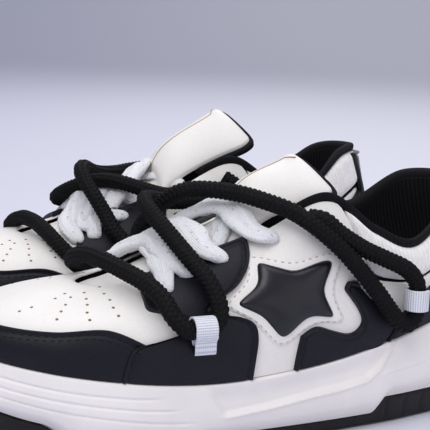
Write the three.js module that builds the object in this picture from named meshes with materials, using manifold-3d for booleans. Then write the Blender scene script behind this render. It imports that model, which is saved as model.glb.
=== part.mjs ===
// A pair of chunky low-top trainers: cupped foam midsoles on rubber outsoles, layered leather uppers
// with a padded star on each side, a wide padded tongue, flat laces and a thick rope lace that is
// threaded through four webbing loops. Millimetres, +Z up, toes towards -Y, left shoe at +X.
import * as THREE from "three";
import Module from "manifold-3d";

const wasm = await Module();
wasm.setup();

// ---------------------------------------------------------------- driving dimensions
const LENGTH = 288; // sole, toe to heel
const WIDTH = 108; // sole, widest
const SOLE_HEIGHT = 62; // midsole rim behind the heel
const UPPER_HEIGHT = 80; // midsole rim to the collar's crest
const SHOE_SPACING = 118; // centre line to centre line

// the upper's layers, as distances from its mean outer face, outwards positive
const LINING = [-5.4, -2.8];
const LEATHER = [-1.9, -0.5];
const OVERLAY = [0.1, 1.4];
const PAD_BASE = 0; // the star pads stand on the white quarter
const STAR = { height: 3.2, edge: 0.25 }; // the pads' height, and the share of it left at their edge
const COLLAR_PADDING = 2.2;
const PADDED = [LEATHER[0], LEATHER[0] + COLLAR_PADDING]; // the ribbed collar
const STRIP = [1.9, 3.1]; // heel strip, laid over the counter
const STRIP_HALF = 0.6; // its half width, in stations

// the sole
const LEDGE = 2.4; // midsole rim past the upper's mean face
const BULGE = 4.2; // midsole belly past the upper's mean face
const WAIST = -2.0; // where the midsole meets the outsole, past the upper's mean face
const UPPER_SEAT = 8.6; // width of the ledge that the upper stands on, inwards
const HOLLOW_DRAFT = 1; // how far the midsole's hollow draws in from its ledge to its floor
const RUBBER = 3.0; // outsole rim wall
const TREAD = 5.5; // outsole plate
const RIM_MID = 6.5; // outsole rim height above the ground at mid-foot
const RIM_END = 14; // and at heel and toe
const TOE_SPRING = 14; // how far the tip of the toe is off the ground
const HEEL_SPRING = 3;
const SIDEWALL = { foot: -5, corner: -1, cornerRise: 1.2, top: 0.6 }; // outsole's side past the waist
const GROOVE = { width: 3, depth: 2.4, pitch: 22, centre: 0.1, reach: 0.6 }; // last two: shares of LENGTH
const ROCKER = { toe: -0.215, heel: 0.41 }; // where the tread turns up, as shares of LENGTH
const RAMP = { heel: 0.215, heelRun: 0.03, toe: -0.3, toeRun: 0.06 }; // where the outsole rim rises, likewise
const BED_TOE = 23; // footbed height above the ground, toe and heel
const BED_HEEL = 33;
const BOARD = 1.6; // lasting board
const INSOLE = 5.0;
const BOARD_FIT = 0.6; // clearance round the lasting board
const INSOLE_FIT = 2.4; // clearance round the loose insole
const GAP = 0.35; // between pieces that touch
const RIM_GAP = 0.6; // under the midsole at the steep ends of the outsole rim

// collar, tongue, laces
const TRIM_R = 0.95; // upper panels stop here, the collar binding carries on to the rim
const BINDING = { seat: 0.6, height: 4.4, reach: 4.5 }; // reach: where it ends, in stations from the heel
const TONGUE = {
  drop: 8.9, // its outer face under the throat's arch
  wider: 1, // how far it reaches under the throat's edges
  clear: 7.3, // inside the throat's edges where it rises between the crests
  thick: 6, // in the middle
  edge: 2.4, // and at its edges
  lining: 1.2,
  liningOver: [0.8, 0.6], // how far the lining shows at the sides and the top
  belowCrest: 2.5, // its bend, below the collar's crest
  rise: [12, 9.3], // from the last row under the laces to the bend, back and up
  lean: 0.586, // radians
  mitre: 0.31, // radians, each side of the bend, so that the top can tip forwards
  gap: 0.5, // between the two at the bend
};
const LACE = {
  width: 9,
  thick: 1.5,
  clear: 1.6, // above the side panels' faces
  reach: 2, // bars, past the throat's edge
};
const ROPE_DIAMETER = 8.5;
const ROPE_SIDES = 8;
const WEBBING = { width: 10.5, thick: 1.1, clear: 0.75 };

// ---------------------------------------------------------------- the last
// Stations run from the heel round the lateral side to the toe and back along the medial side.
// foot: sole outline as shares of WIDTH and LENGTH, height as a share of SOLE_HEIGHT
// rim: collar and throat outline likewise, height above the foot as a share of UPPER_HEIGHT
// curve: rise, flare, reach and drop of the section between them, as shares of UPPER_HEIGHT and WIDTH
const STATIONS = {
  heel: { foot: [0, 0.468, 1.0], rim: [0, 0.455, 0.69], curve: [0.25, 0.028, 0.037, 0.22] },
  heel_out: { foot: [0.255, 0.43, 0.94], rim: [0.215, 0.405, 0.69], curve: [0.22, 0.028, 0.046, 0.22] },
  ankle_out: { foot: [0.365, 0.31, 0.79], rim: [0.315, 0.305, 0.53], curve: [0.19, 0.019, 0.056, 0.18] },
  waist_out: { foot: [0.415, 0.19, 0.66], rim: [0.3, 0.225, 0.725], curve: [0.25, 0.019, 0.093, 0.22] },
  crest_out: { foot: [0.44, 0.08, 0.58], rim: [0.26, 0.135, 1.0], curve: [0.32, 0.019, 0.13, 0.27] },
  instep_out: { foot: [0.455, -0.03, 0.54], rim: [0.2, 0.03, 0.84], curve: [0.32, 0.019, 0.167, 0.18] },
  ball_out: { foot: [0.47, -0.13, 0.555], rim: [0.165, -0.075, 0.68], curve: [0.3, 0.019, 0.204, 0.125] },
  vamp_out: { foot: [0.465, -0.23, 0.61], rim: [0.135, -0.165, 0.515], curve: [0.25, 0.028, 0.222, 0.1] },
  small_toe: { foot: [0.4, -0.34, 0.69], rim: [0.095, -0.22, 0.4], curve: [0.225, 0.037, 0.26, 0.075] },
  toe_out: { foot: [0.23, -0.43, 0.76], rim: [0.05, -0.24, 0.34], curve: [0.225, 0.046, 0.315, 0.075] },
  toe: { foot: [-0.03, -0.468, 0.79], rim: [0, -0.246, 0.315], curve: [0.225, 0.046, 0.352, 0.075] },
  toe_in: { foot: [-0.27, -0.425, 0.76], rim: [-0.05, -0.24, 0.34], curve: [0.225, 0.046, 0.315, 0.075] },
  big_toe: { foot: [-0.41, -0.335, 0.69], rim: [-0.095, -0.22, 0.4], curve: [0.225, 0.037, 0.26, 0.075] },
  vamp_in: { foot: [-0.445, -0.22, 0.61], rim: [-0.135, -0.165, 0.515], curve: [0.25, 0.028, 0.222, 0.1] },
  ball_in: { foot: [-0.42, -0.115, 0.565], rim: [-0.165, -0.075, 0.675], curve: [0.32, 0.019, 0.204, 0.125] },
  arch_in: { foot: [-0.37, 0, 0.58], rim: [-0.2, 0.03, 0.81], curve: [0.35, 0.019, 0.148, 0.18] },
  crest_in: { foot: [-0.345, 0.105, 0.645], rim: [-0.26, 0.135, 0.95], curve: [0.35, 0.019, 0.093, 0.27] },
  waist_in: { foot: [-0.345, 0.205, 0.71], rim: [-0.3, 0.225, 0.71], curve: [0.275, 0.019, 0.074, 0.22] },
  ankle_in: { foot: [-0.33, 0.315, 0.81], rim: [-0.31, 0.3, 0.6], curve: [0.22, 0.019, 0.056, 0.2] },
  heel_in: { foot: [-0.245, 0.43, 0.94], rim: [-0.215, 0.385, 0.72], curve: [0.25, 0.028, 0.046, 0.22] },
};

const rowOf = ({ foot, rim, curve }) => {
  const footZ = foot[2] * SOLE_HEIGHT;
  return [
    foot[0] * WIDTH, foot[1] * LENGTH, footZ,
    rim[0] * WIDTH, rim[1] * LENGTH, footZ + rim[2] * UPPER_HEIGHT,
    curve[0] * UPPER_HEIGHT, curve[1] * WIDTH, curve[2] * WIDTH, curve[3] * UPPER_HEIGHT,
  ];
};
const ROWS = Object.values(STATIONS).map(rowOf);
const ROUND = ROWS.length;

/** Uniform Catmull-Rom value between b and c, with neighbours a and d. */
const spline = (a, b, c, d, f) =>
  0.5 * (2 * b + (c - a) * f + (2 * a - 5 * b + 4 * c - d) * f * f + (3 * b - a - 3 * c + d) * f ** 3);

/** All ten station values at t, a number of stations round the last from the heel. */
function stationAt(t) {
  const i = Math.floor(t);
  const row = (k) => ROWS[(((i + k) % ROUND) + ROUND) % ROUND];
  return ROWS[0].map((_, n) => spline(row(-1)[n], row(0)[n], row(1)[n], row(2)[n], t - i));
}

/** Unit vector that points out of the sole's outline at t. */
function outwardAt(t) {
  const a = stationAt(t - 0.01);
  const b = stationAt(t + 0.01);
  return new THREE.Vector3(a[1] - b[1], b[0] - a[0], 0).normalize();
}

/** The upper's mean outer face: t round the last, r from the sole (0) to the collar's rim (1). */
function facePoint(t, r) {
  const [fx, fy, fz, tx, ty, tz, rise, flare, reach, drop] = stationAt(t);
  const out = outwardAt(t);
  const foot = new THREE.Vector3(fx, fy, fz);
  const rim = new THREE.Vector3(tx, ty, tz);
  const low = foot.clone().addScaledVector(out, flare).add(new THREE.Vector3(0, 0, rise));
  const high = rim.clone().addScaledVector(out, reach).sub(new THREE.Vector3(0, 0, drop));
  return new THREE.CubicBezierCurve3(foot, low, high, rim).getPoint(r);
}

/** Outward normal of that face; it is turned level at the sole, where the layers stand on the ledge. */
function faceNormal(t, r) {
  const step = 0.004;
  const near = Math.min(Math.max(r, step), 1 - step);
  const along = facePoint(t + step, near).sub(facePoint(t - step, near));
  const up = facePoint(t, near + step).sub(facePoint(t, near - step));
  const normal = up.cross(along).normalize();
  normal.z *= Math.min(1, r / 0.1);
  return normal.normalize();
}

/** A point on the upper, lifted off its mean face. */
const skin = (t, r, lift) => facePoint(t, r).addScaledVector(faceNormal(t, r), lift);

/** A point over the throat at station t of the lateral side and x across, on an arch between the rims. */
function bridge(t, x, lift) {
  const out = stationAt(t);
  const inn = stationAt(ROUND - t);
  const half = Math.max((out[3] - inn[3]) / 2, 1);
  const slope = Math.min(out[9] / out[8], 0.7);
  const from = Math.abs(x);
  const arch = from < half ? (slope * (half * half - x * x)) / (2 * half) : -slope * (from - half);
  return new THREE.Vector3(x, (out[4] + inn[4]) / 2, (out[5] + inn[5]) / 2 + arch + lift);
}
const throatHalf = (t) => (stationAt(t)[3] - stationAt(ROUND - t)[3]) / 2;

// ---------------------------------------------------------------- solids from rows of points
const steps = (count, from = 0, to = 1) =>
  Array.from({ length: count + 1 }, (_, i) => from + ((to - from) * i) / count);
const smooth = (x) => THREE.MathUtils.smoothstep(x, 0, 1);

/** A closed body from points and triangles, turned so that its faces point out. */
function body(points, triangles) {
  let volume = 0;
  for (const [a, b, c] of triangles) {
    volume += points[a].dot(new THREE.Vector3().crossVectors(points[b], points[c]));
  }
  const geometry = new THREE.BufferGeometry();
  geometry.setAttribute("position", new THREE.Float32BufferAttribute(points.flatMap((p) => p.toArray()), 3));
  geometry.setIndex(triangles.flatMap(([a, b, c]) => (volume < 0 ? [a, c, b] : [a, b, c])));
  return geometry;
}

const quad = (a, b, c, d) => [[a, b, c], [a, c, d]];

/** A sheet with thickness: two grids of one size, joined all round; loop joins the last row to the first. */
function sheetBody(outer, inner, loop = false) {
  const rows = outer.length;
  const columns = outer[0].length;
  const at = (layer, i, j) => layer * rows * columns + (i % rows) * columns + j;
  const triangles = [];
  const last = loop ? rows : rows - 1;
  for (let i = 0; i < last; i++) {
    for (let j = 0; j < columns - 1; j++) {
      triangles.push(...quad(at(0, i, j), at(0, i + 1, j), at(0, i + 1, j + 1), at(0, i, j + 1)));
      triangles.push(...quad(at(1, i, j), at(1, i, j + 1), at(1, i + 1, j + 1), at(1, i + 1, j)));
    }
    triangles.push(...quad(at(0, i, 0), at(1, i, 0), at(1, i + 1, 0), at(0, i + 1, 0)));
    const e = columns - 1;
    triangles.push(...quad(at(0, i, e), at(0, i + 1, e), at(1, i + 1, e), at(1, i, e)));
  }
  for (let j = 0; j < columns - 1 && !loop; j++) {
    triangles.push(...quad(at(0, 0, j), at(0, 0, j + 1), at(1, 0, j + 1), at(1, 0, j)));
    const e = rows - 1;
    triangles.push(...quad(at(0, e, j), at(1, e, j), at(1, e, j + 1), at(0, e, j + 1)));
  }
  return body([...outer.flat(), ...inner.flat()], triangles);
}

/** A stack of rings with the same even count, each end closed by rungs from one side to the other. */
function ringBody(rings) {
  const count = rings[0].length;
  const at = (k, i) => k * count + (i % count);
  const triangles = [];
  for (let k = 0; k < rings.length - 1; k++) {
    for (let i = 0; i < count; i++) {
      triangles.push(...quad(at(k, i), at(k, i + 1), at(k + 1, i + 1), at(k + 1, i)));
    }
  }
  for (const [k, flip] of [[0, true], [rings.length - 1, false]]) {
    for (let i = 0; i < count / 2; i++) {
      const rung = quad(at(k, i), at(k, i + 1), at(k, count - i - 1), at(k, count - i));
      for (const [a, b, c] of rung) {
        if (new Set([a, b, c]).size === 3) triangles.push(flip ? [a, c, b] : [a, b, c]);
      }
    }
  }
  return body(rings.flat(), triangles);
}

/** Open Catmull-Rom through matched edge points [t, r]; u counts points. */
function edgeAt(edge, u) {
  const i = Math.min(Math.floor(u), edge.length - 2);
  const point = (k) => edge[Math.min(Math.max(i + k, 0), edge.length - 1)];
  return [0, 1].map((n) => spline(point(-1)[n], point(0)[n], point(1)[n], point(2)[n], u - i));
}

/** An upper panel between two matched edges, from one lift to another. */
function panelBody([edgeA, edgeB], [low, high], across, perPoint = 2) {
  const grid = (lift) =>
    steps((edgeA.length - 1) * perPoint, 0, edgeA.length - 1).map((u) => {
      const a = edgeAt(edgeA, u);
      const b = edgeAt(edgeB, u);
      return steps(across).map((v) =>
        skin(THREE.MathUtils.lerp(a[0], b[0], v), THREE.MathUtils.lerp(a[1], b[1], v), lift));
    });
  return sheetBody(grid(high), grid(low));
}

// ---------------------------------------------------------------- the sole
/** Height of the tread above the ground: flat under the foot, turned up at toe and heel. */
function groundAt(y) {
  const toe = Math.max(0, ROCKER.toe * LENGTH - y) / ((0.5 + ROCKER.toe) * LENGTH);
  const heel = Math.max(0, y - ROCKER.heel * LENGTH) / ((0.47 - ROCKER.heel) * LENGTH);
  return TOE_SPRING * toe ** 2 + HEEL_SPRING * heel ** 2;
}
/** Height of the outsole's rim: low at mid-foot, with a short ramp up to the heel and the toe. */
function rimAt(y) {
  const heel = smooth((y - RAMP.heel * LENGTH) / (RAMP.heelRun * LENGTH));
  const toe = smooth((RAMP.toe * LENGTH - y) / (RAMP.toeRun * LENGTH));
  return groundAt(y) + RIM_MID + (RIM_END - RIM_MID) * Math.max(heel, toe);
}
const bedAt = (y) =>
  BED_TOE + (BED_HEEL - BED_TOE) * smooth(y / (0.8 * LENGTH) + 0.5) + 0.5 * groundAt(Math.min(y, 0));

const ROUNDS = steps(ROUND * 2, 0, ROUND).slice(0, -1); // two points to a station
/** A ring round the sole: the outline moved outwards by offset, with its height from a rule. */
const soleRing = (offset, height) =>
  ROUNDS.map((t) => {
    const [x, y, rimZ] = stationAt(t);
    const point = new THREE.Vector3(x, y, 0).addScaledVector(outwardAt(t), offset);
    return point.setZ(height(point.y, rimZ));
  });

function outsole() {
  const rings = [
    soleRing(WAIST + SIDEWALL.foot, (y) => groundAt(y)),
    soleRing(WAIST + SIDEWALL.corner, (y) => groundAt(y) + SIDEWALL.cornerRise),
    soleRing(WAIST + SIDEWALL.top, (y) => rimAt(y)),
    soleRing(WAIST - RUBBER, (y) => rimAt(y)),
    soleRing(WAIST - RUBBER, (y) => groundAt(y) + TREAD),
  ];
  let solid = toManifold(ringBody(rings));
  const count = Math.floor((GROOVE.reach * LENGTH) / GROOVE.pitch);
  for (const i of steps(count, -count / 2, count / 2)) {
    const slot = new THREE.BoxGeometry(WIDTH * 2, GROOVE.width, GROOVE.depth * 2);
    solid = solid.subtract(toManifold(slot.translate(0, GROOVE.centre * LENGTH + i * GROOVE.pitch, 0)));
  }
  return fromManifold(solid);
}

function midsole() {
  const inner = WAIST - RUBBER - GAP;
  const rings = [
    soleRing(inner, (y) => groundAt(y) + TREAD + GAP),
    soleRing(inner, (y) => rimAt(y) + RIM_GAP),
    soleRing(WAIST, (y) => rimAt(y) + RIM_GAP),
    soleRing(BULGE, (y, top) => (rimAt(y) + top) / 2),
    soleRing(LEDGE, (y, top) => top - GAP),
    soleRing(LEDGE - UPPER_SEAT, (y, top) => top - GAP),
    soleRing(LEDGE - UPPER_SEAT - HOLLOW_DRAFT, (y) => bedAt(y)),
  ];
  return ringBody(rings);
}

/** A flat layer in the bottom of the sole's hollow, clear of its walls. */
function bedLayer(clear, low, thick) {
  const inset = LEDGE - UPPER_SEAT - HOLLOW_DRAFT - clear;
  return ringBody([
    soleRing(inset, (y) => bedAt(y) + low),
    soleRing(inset, (y) => bedAt(y) + low + thick),
  ]);
}

// ---------------------------------------------------------------- the upper
/** The lining, a sleeve from the ledge to the collar, open below and above. */
function lining() {
  const grid = (lift) => ROUNDS.map((t) => steps(6, 0, TRIM_R).map((r) => skin(t, r, lift)));
  return sheetBody(grid(LINING[1]), grid(LINING[0]), true);
}

// Panel outlines on the lateral side: matched edges of [t, r] points. The medial side mirrors them.
const VAMP_SEAM = 6.0; // the vamp meets the quarters here
const SEAM = 0.03; // half a seam's gap, in stations
const HEM = 0.94; // where the quarters stop under the binding
const SEAM_R = 0.59; // the collar's seam
const mirrored = (edges) => edges.map((edge) => edge.map(([t, r]) => [ROUND - t, r]));
/** An edge that runs on round the heel: its points and then their mirror images. */
const roundHeel = (edge) => [...edge, [0, edge.at(-1)[1]], ...edge.toReversed().map(([t, r]) => [-t, r])];
const level = (r, stations) => stations.map((t) => [t, r]);

const VAMP_ROUND = steps(8, VAMP_SEAM + SEAM, ROUND - VAMP_SEAM - SEAM);
const VAMP = [level(0, VAMP_ROUND), level(TRIM_R, VAMP_ROUND)];
const QUARTER = [
  level(0, [SEAM, 0.6, 1.1, 1.6, 2.1, 2.6, 3, 3.25, 3.5, 3.75, 4, 4.5, 5, 5.5, VAMP_SEAM - SEAM]),
  [
    ...level(0.55, [SEAM, 0.6, 1.1, 1.6]), [2.1, 0.56], [2.6, 0.565], [2.95, 0.575], [3.28, 0.7], [3.5, 0.83],
    ...level(HEM, [3.75, 4, 4.5, 5, 5.5, VAMP_SEAM - SEAM]),
  ],
];
const MUDGUARD = [
  level(0, [7.17, 7.7, 8.3, 9, 10, 11, 11.7, 12.3, 12.83]),
  [
    [7.04, 0.31], [7.5, 0.43], [8.2, 0.375], [9, 0.335], [10, 0.33],
    [11, 0.335], [11.8, 0.375], [12.5, 0.43], [12.96, 0.31],
  ],
];
const SIDE_PANEL = [
  [
    [7.09, 0], [7.07, 0.14], [6.98, 0.27], [6.6, 0.315], [6.25, 0.35], [6.22, 0.41],
    [6.42, 0.48], [6.72, 0.55], [6.93, 0.6], [7.04, 0.7], [7.12, 0.8], [7.2, 0.95],
  ],
  [
    [4.87, 0], [4.86, 0.12], [4.88, 0.24], [4.99, 0.33], [5.25, 0.39], [5.6, 0.43],
    [5.8, 0.475], [5.7, 0.535], [5.45, 0.6], [5.3, 0.68], [5.28, 0.8], [5.36, 0.95],
  ],
];
const WING = [
  [
    [4.19, 0], [3.95, 0], [3.65, 0], [3.3, 0], [3, 0],
    [2.66, 0], [2.48, 0.2], [2.72, 0.32], [3.05, 0.42], [3.4, 0.53],
  ],
  [
    [4.16, 0.2], [3.92, 0.24], [3.6, 0.205], [3.3, 0.17], [3.15, 0.195],
    [3.11, 0.26], [3.22, 0.34], [3.4, 0.41], [3.55, 0.46], [3.52, 0.51],
  ],
];
const COUNTER = [
  roundHeel(level(0, [2.6, 2.1, 1.6, 1.1, 0.6])),
  [
    [2.42, 0.2], [2.1, 0.36], [1.65, 0.46], [1.1, 0.5], [0.6, 0.53], [0, 0.54],
    [-0.6, 0.53], [-1.1, 0.5], [-1.65, 0.46], [-2.1, 0.36], [-2.42, 0.2],
  ],
];
const COLLAR = [
  roundHeel([[3.57, 0.88], [3.39, 0.77], [3, 0.62], [2.5, 0.6], ...level(SEAM_R, [2, 1.5, 1, 0.5])]),
  roundHeel([[3.64, 0.93], ...level(0.945, [3.46, 3.1, 2.5, 2, 1.5, 1, 0.5])]),
];
const STAR_SHAPE = {
  centre: [4.48, 0.43],
  outline: [
    [5.1, 0.71], [4.48, 0.57], [3.9, 0.59], [3.96, 0.44], [3.69, 0.3],
    [4.13, 0.3], [4.45, 0.23], [4.91, 0.37], [5.33, 0.48], [5.08, 0.56],
  ],
};

/** The padded star: rings of the outline drawn in towards its centre, crowned on the outside. */
function star(medial) {
  const outline = new THREE.CatmullRomCurve3(
    STAR_SHAPE.outline.map(([t, r]) => new THREE.Vector3(t, r, 0)), true, "catmullrom", 0.5);
  const around = outline.getPoints(30).slice(0, -1);
  const ring = (share, lift) =>
    around.map(({ x, y }) => {
      const t = THREE.MathUtils.lerp(STAR_SHAPE.centre[0], x, share);
      return skin(medial ? ROUND - t : t, THREE.MathUtils.lerp(STAR_SHAPE.centre[1], y, share), lift);
    });
  const shares = [0.2, 0.7, 1];
  const crown = (share) => PAD_BASE + STAR.height * (1 - (1 - STAR.edge) * share ** 3);
  return ringBody([
    ...shares.map((share) => ring(share, PAD_BASE)),
    ...shares.toReversed().map((share) => ring(share, crown(share))),
  ]);
}

/** Heel strip over the counter and the collar, from the sole to the rim. */
function heelStrip() {
  const edge = (t) => [0.02, 0.3, 0.55, 0.75, 0.92].map((r) => [t, r]);
  return panelBody([edge(STRIP_HALF), edge(-STRIP_HALF)], STRIP, 4, 2);
}

/** The knitted binding, a soft bar along the rim from crest to crest round the heel. */
function binding() {
  const section = [[0, 0], [0, 0.7], [0.25, 1], [0.75, 1], [1, 0.7], [1, 0]];
  const rings = steps(18, BINDING.reach, -BINDING.reach).map((t) => {
    const inner = skin(t, TRIM_R, LINING[0]);
    const outer = skin(t, TRIM_R, PADDED[1]);
    return section.map(([across, up]) => {
      const point = inner.clone().lerp(outer, across);
      return point.setZ(point.z + BINDING.seat + (BINDING.height - BINDING.seat) * up);
    });
  });
  return ringBody(rings);
}

// ---------------------------------------------------------------- the tongue
// Rows of the tongue's outer face above the throat: the centre's y and its height over the crest, the half
// width, and the fall from the centre to the edges. The first row is where the top bends on the lower part.
const THROAT_TOP = throatHalf(4.5);
const TONGUE_TOP = [
  { y: 21.0, up: -1.2, half: THROAT_TOP - TONGUE.clear, fall: 3.5 },
  { y: 27.5, up: 5.0, half: THROAT_TOP - TONGUE.clear + 0.5, fall: 4 },
  { y: 33.0, up: 11.5, half: THROAT_TOP - TONGUE.clear + 2.5, fall: 4.5 },
  { y: 36.5, up: 16.0, half: THROAT_TOP + 1.4, fall: 6 },
  { y: 38.5, up: 18.5, half: THROAT_TOP + 0.4, fall: 6 },
];
const CREST_Z = facePoint(4, 1).z - TONGUE.belowCrest;
const UPRIGHT = new THREE.Vector3(0, 0, 1);
const ACROSS = new THREE.Vector3(1, 0, 0);
const TONGUE_COLUMNS = steps(8, -1, 1);
const FOAM_AT = TONGUE_COLUMNS.map((c) => THREE.MathUtils.lerp(TONGUE.thick, TONGUE.edge, c * c));

/** Which way the top's thickness points: it leans towards the toe, and by a further angle at the bend. */
const leaning = (angle) => UPRIGHT.clone().applyAxisAngle(ACROSS, TONGUE.lean + angle);
const topRow = ({ y, up, half, fall }) =>
  TONGUE_COLUMNS.map((c) => new THREE.Vector3(c * half, y, CREST_Z + up - fall * c * c));
const lowerRow = (t) =>
  TONGUE_COLUMNS.map((c) => bridge(t, c * (throatHalf(t) + TONGUE.wider), -TONGUE.drop));

/** A padded sheet from rows of its outer face. A mitred row keeps its inner edge and tilts its end face. */
function tongueBody(rows) {
  const inner = rows.map(({ points, thickness }) =>
    points.map((p, j) => p.clone().addScaledVector(thickness, -FOAM_AT[j])));
  const outer = rows.map(({ points, mitre }, i) =>
    mitre ? inner[i].map((p, j) => p.clone().addScaledVector(mitre, FOAM_AT[j])) : points);
  return sheetBody(outer, inner);
}

/** The tongue below its bend: under the throat from the vamp up, and on behind the laces to the bend. */
function tongueLower() {
  const bend = TONGUE_TOP[0];
  const stations = [9.3, 8.6, 8, 7.4, 6.8, 6.2, 5.7, 5.3];
  const under = stations.map((t) => ({ points: lowerRow(t), thickness: UPRIGHT }));
  const behind = { ...bend, y: bend.y - TONGUE.rise[0], up: bend.up - TONGUE.rise[1] };
  const gap = leaning(Math.PI / 2).multiplyScalar(TONGUE.gap);
  const last = { ...bend, y: bend.y + gap.y, up: bend.up + gap.z };
  return tongueBody([
    ...under,
    { points: topRow(behind), thickness: leaning(0) },
    { points: topRow(last), thickness: leaning(0), mitre: leaning(TONGUE.mitre) },
  ]);
}

function tongueTop() {
  const rows = TONGUE_TOP.map((row) => ({ points: topRow(row), thickness: leaning(0) }));
  rows[0].mitre = leaning(-TONGUE.mitre);
  return tongueBody(rows);
}

/** The tongue's lining behind its top, a thin sheet that shows as an edge. */
function tongueLining() {
  const rows = TONGUE_TOP.slice(1).map((row) =>
    topRow({ ...row, half: row.half + TONGUE.liningOver[0], up: row.up + TONGUE.liningOver[1] }));
  const behind = (depth) => rows.map((points) =>
    points.map((p, j) => p.clone().addScaledVector(leaning(0), -FOAM_AT[j] - TONGUE.liningOver[1] - depth)));
  return sheetBody(behind(GAP), behind(GAP + TONGUE.lining));
}

// ---------------------------------------------------------------- laces
const LACE_BARS = [7.15, 6.7, 6.22, 5.7, 5.12]; // stations of the bars over the tongue, from the toe up

/** The lace's centre line as [t, x]: bars over the tongue, joined by round turns beside the throat. */
function laceRoute() {
  const route = [];
  LACE_BARS.forEach((t, i) => {
    const side = i % 2 ? -1 : 1;
    const half = throatHalf(t) + LACE.reach;
    for (const f of steps(6, -1, 1)) route.push([t, side * f * half]);
    if (i === LACE_BARS.length - 1) return;
    const next = LACE_BARS[i + 1];
    const radius = bridge(t, 0, 0).distanceTo(bridge(next, 0, 0)) / 2;
    const nextHalf = throatHalf(next) + LACE.reach;
    for (const f of steps(6).slice(1, -1)) {
      const out = THREE.MathUtils.lerp(half, nextHalf, f) + radius * Math.sin(Math.PI * f);
      route.push([THREE.MathUtils.lerp(t, next, (1 - Math.cos(Math.PI * f)) / 2), side * out]);
    }
  });
  return route;
}

/** Flat lace: a ribbon that lies along its route, flat on the arch over the throat. */
function flatLace() {
  const lift = OVERLAY[1] + LACE.clear;
  const path = laceRoute().map(([t, x]) => ({ t, x, point: bridge(t, x, lift) }));
  const near = 0.1;
  const rings = path.map(({ t, x, point }, i) => {
    const across = bridge(t, x + near, lift).sub(bridge(t, x - near, lift));
    const up = across.cross(bridge(t - near, x, lift).sub(bridge(t + near, x, lift))).setLength(LACE.thick);
    const ahead = path[Math.min(i + 1, path.length - 1)].point;
    const along = ahead.clone().sub(path[Math.max(i - 1, 0)].point);
    const side = up.clone().cross(along).setLength(LACE.width / 2);
    const low = [point.clone().sub(side), point.clone().add(side)];
    return [...low, ...low.toReversed().map((q) => q.clone().add(up))];
  });
  return ringBody(rings);
}

// The rope lace's centre line, [x, y, z] with x towards the lateral side. It leaves the lateral top eyelet,
// turns in the rear loop, crosses to the medial front loop, crosses the toe to the lateral front loop,
// crosses back to the medial rear loop and ends in the medial top eyelet. The first crossing strand lies
// under the second on the left shoe and over it on the right.
// The four webbing loops' centres.
const FRONT_OUTER = [54.6, -32.5, 61];
const REAR_OUTER = [49.8, 80.5, 66];
const FRONT_INNER = [-52.5, -32.5, 57];
const REAR_INNER = [-46.3, 80.5, 66];
const ROPE_START = [
  [36, 27, 106], [41, 33, 105], [44.5, 40, 99], [47, 51, 92], [48, 63, 86.5], [49, 74, 81],
  [49.8, 79.8, 74], REAR_OUTER, [49.8, 80.5, 59], [50, 77, 54], [50.5, 71.5, 55], [51, 65, 62],
  [51, 57, 72], [50, 49, 81.5], [48, 41, 90.5], [45.5, 33, 98], [40.5, 25, 104.5], [33, 18, 109],
];
const ROPE_TOE = [
  [-51.5, -21.5, 64], [-52, -22.5, 58.5], [-52.5, -27, 57], FRONT_INNER, [-52.5, -38, 57],
  [-50, -47, 59.5], [-45, -57, 65], [-36, -66, 72], [-25, -71, 77], [-12, -72.5, 82], [0, -70, 85],
  [12, -66, 84.5], [24, -60, 82], [35, -54, 79], [45, -49, 74], [51.8, -45.5, 66.5], [54.6, -39.5, 61],
  FRONT_OUTER, [54.6, -26.5, 61], [53.5, -21.5, 64.5], [50, -21.5, 71.5], [43, -26, 81],
];
const ROPE_END = [
  [-44, 28, 96], [-45.5, 42, 88.5], [-46, 54, 78.5], [-46, 64, 67], [-46, 70.5, 57], [-46.1, 76, 53.5],
  [-46.3, 80.5, 58], REAR_INNER, [-46.3, 79.8, 74], [-45.5, 73, 81], [-44.5, 61, 89.5],
  [-44, 48, 95.5], [-42, 38, 101.5], [-38, 31, 106],
];
const UNDER = [
  [24, 8, 112.5], [14, -1, 114.5], [4, -12, 115], [-5, -21, 113], [-13, -28, 107], [-21, -33.5, 98],
  [-30, -35, 89], [-39, -32, 80.5], [-47, -26, 72],
];
const OVER_BACK = [
  [32, -32, 89], [20, -36, 96], [8, -39, 102], [-4, -40, 106], [-16, -37, 107.5], [-26, -30, 105.5],
  [-34, -18, 102.5], [-39, -4, 101], [-42, 12, 100],
];
const OVER = [
  [24, 8, 112.5], [14, -1, 114.5], [4, -12, 114.5], [-5, -21.5, 112.5], [-13, -29, 109], [-21, -34, 103.5],
  [-30, -36, 93.5], [-39, -32.5, 81.5], [-47, -26, 72],
];
const UNDER_BACK = [
  [32, -32.5, 88.5], [20, -37, 93], [8, -39.5, 95], [-4, -39, 95], [-15, -35, 94], [-25, -28, 94],
  [-33, -17, 95.5], [-39, -3, 98], [-42, 12, 99],
];
const ROPE_LEFT = [...ROPE_START, ...UNDER, ...ROPE_TOE, ...OVER_BACK, ...ROPE_END];
const ROPE_RIGHT = [...ROPE_START, ...OVER, ...ROPE_TOE, ...UNDER_BACK, ...ROPE_END];

/** The rope: a round tube with a ring at each point of its route, twisted as little as possible. */
function ropeLace(route) {
  const path = route.map((point) => new THREE.Vector3(...point));
  const around = steps(ROPE_SIDES, 0, 2 * Math.PI).slice(0, -1);
  let side = UPRIGHT;
  const rings = path.map((p, i) => {
    const ahead = path[Math.min(i + 1, path.length - 1)];
    const back = path[Math.max(i - 1, 0)];
    const along = ahead.clone().sub(back).normalize();
    side = side.clone().addScaledVector(along, -side.dot(along)).setLength(ROPE_DIAMETER / 2);
    const up = along.cross(side);
    return around.map((a) => p.clone().addScaledVector(side, Math.cos(a)).addScaledVector(up, Math.sin(a)));
  });
  return ringBody(rings);
}

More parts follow.
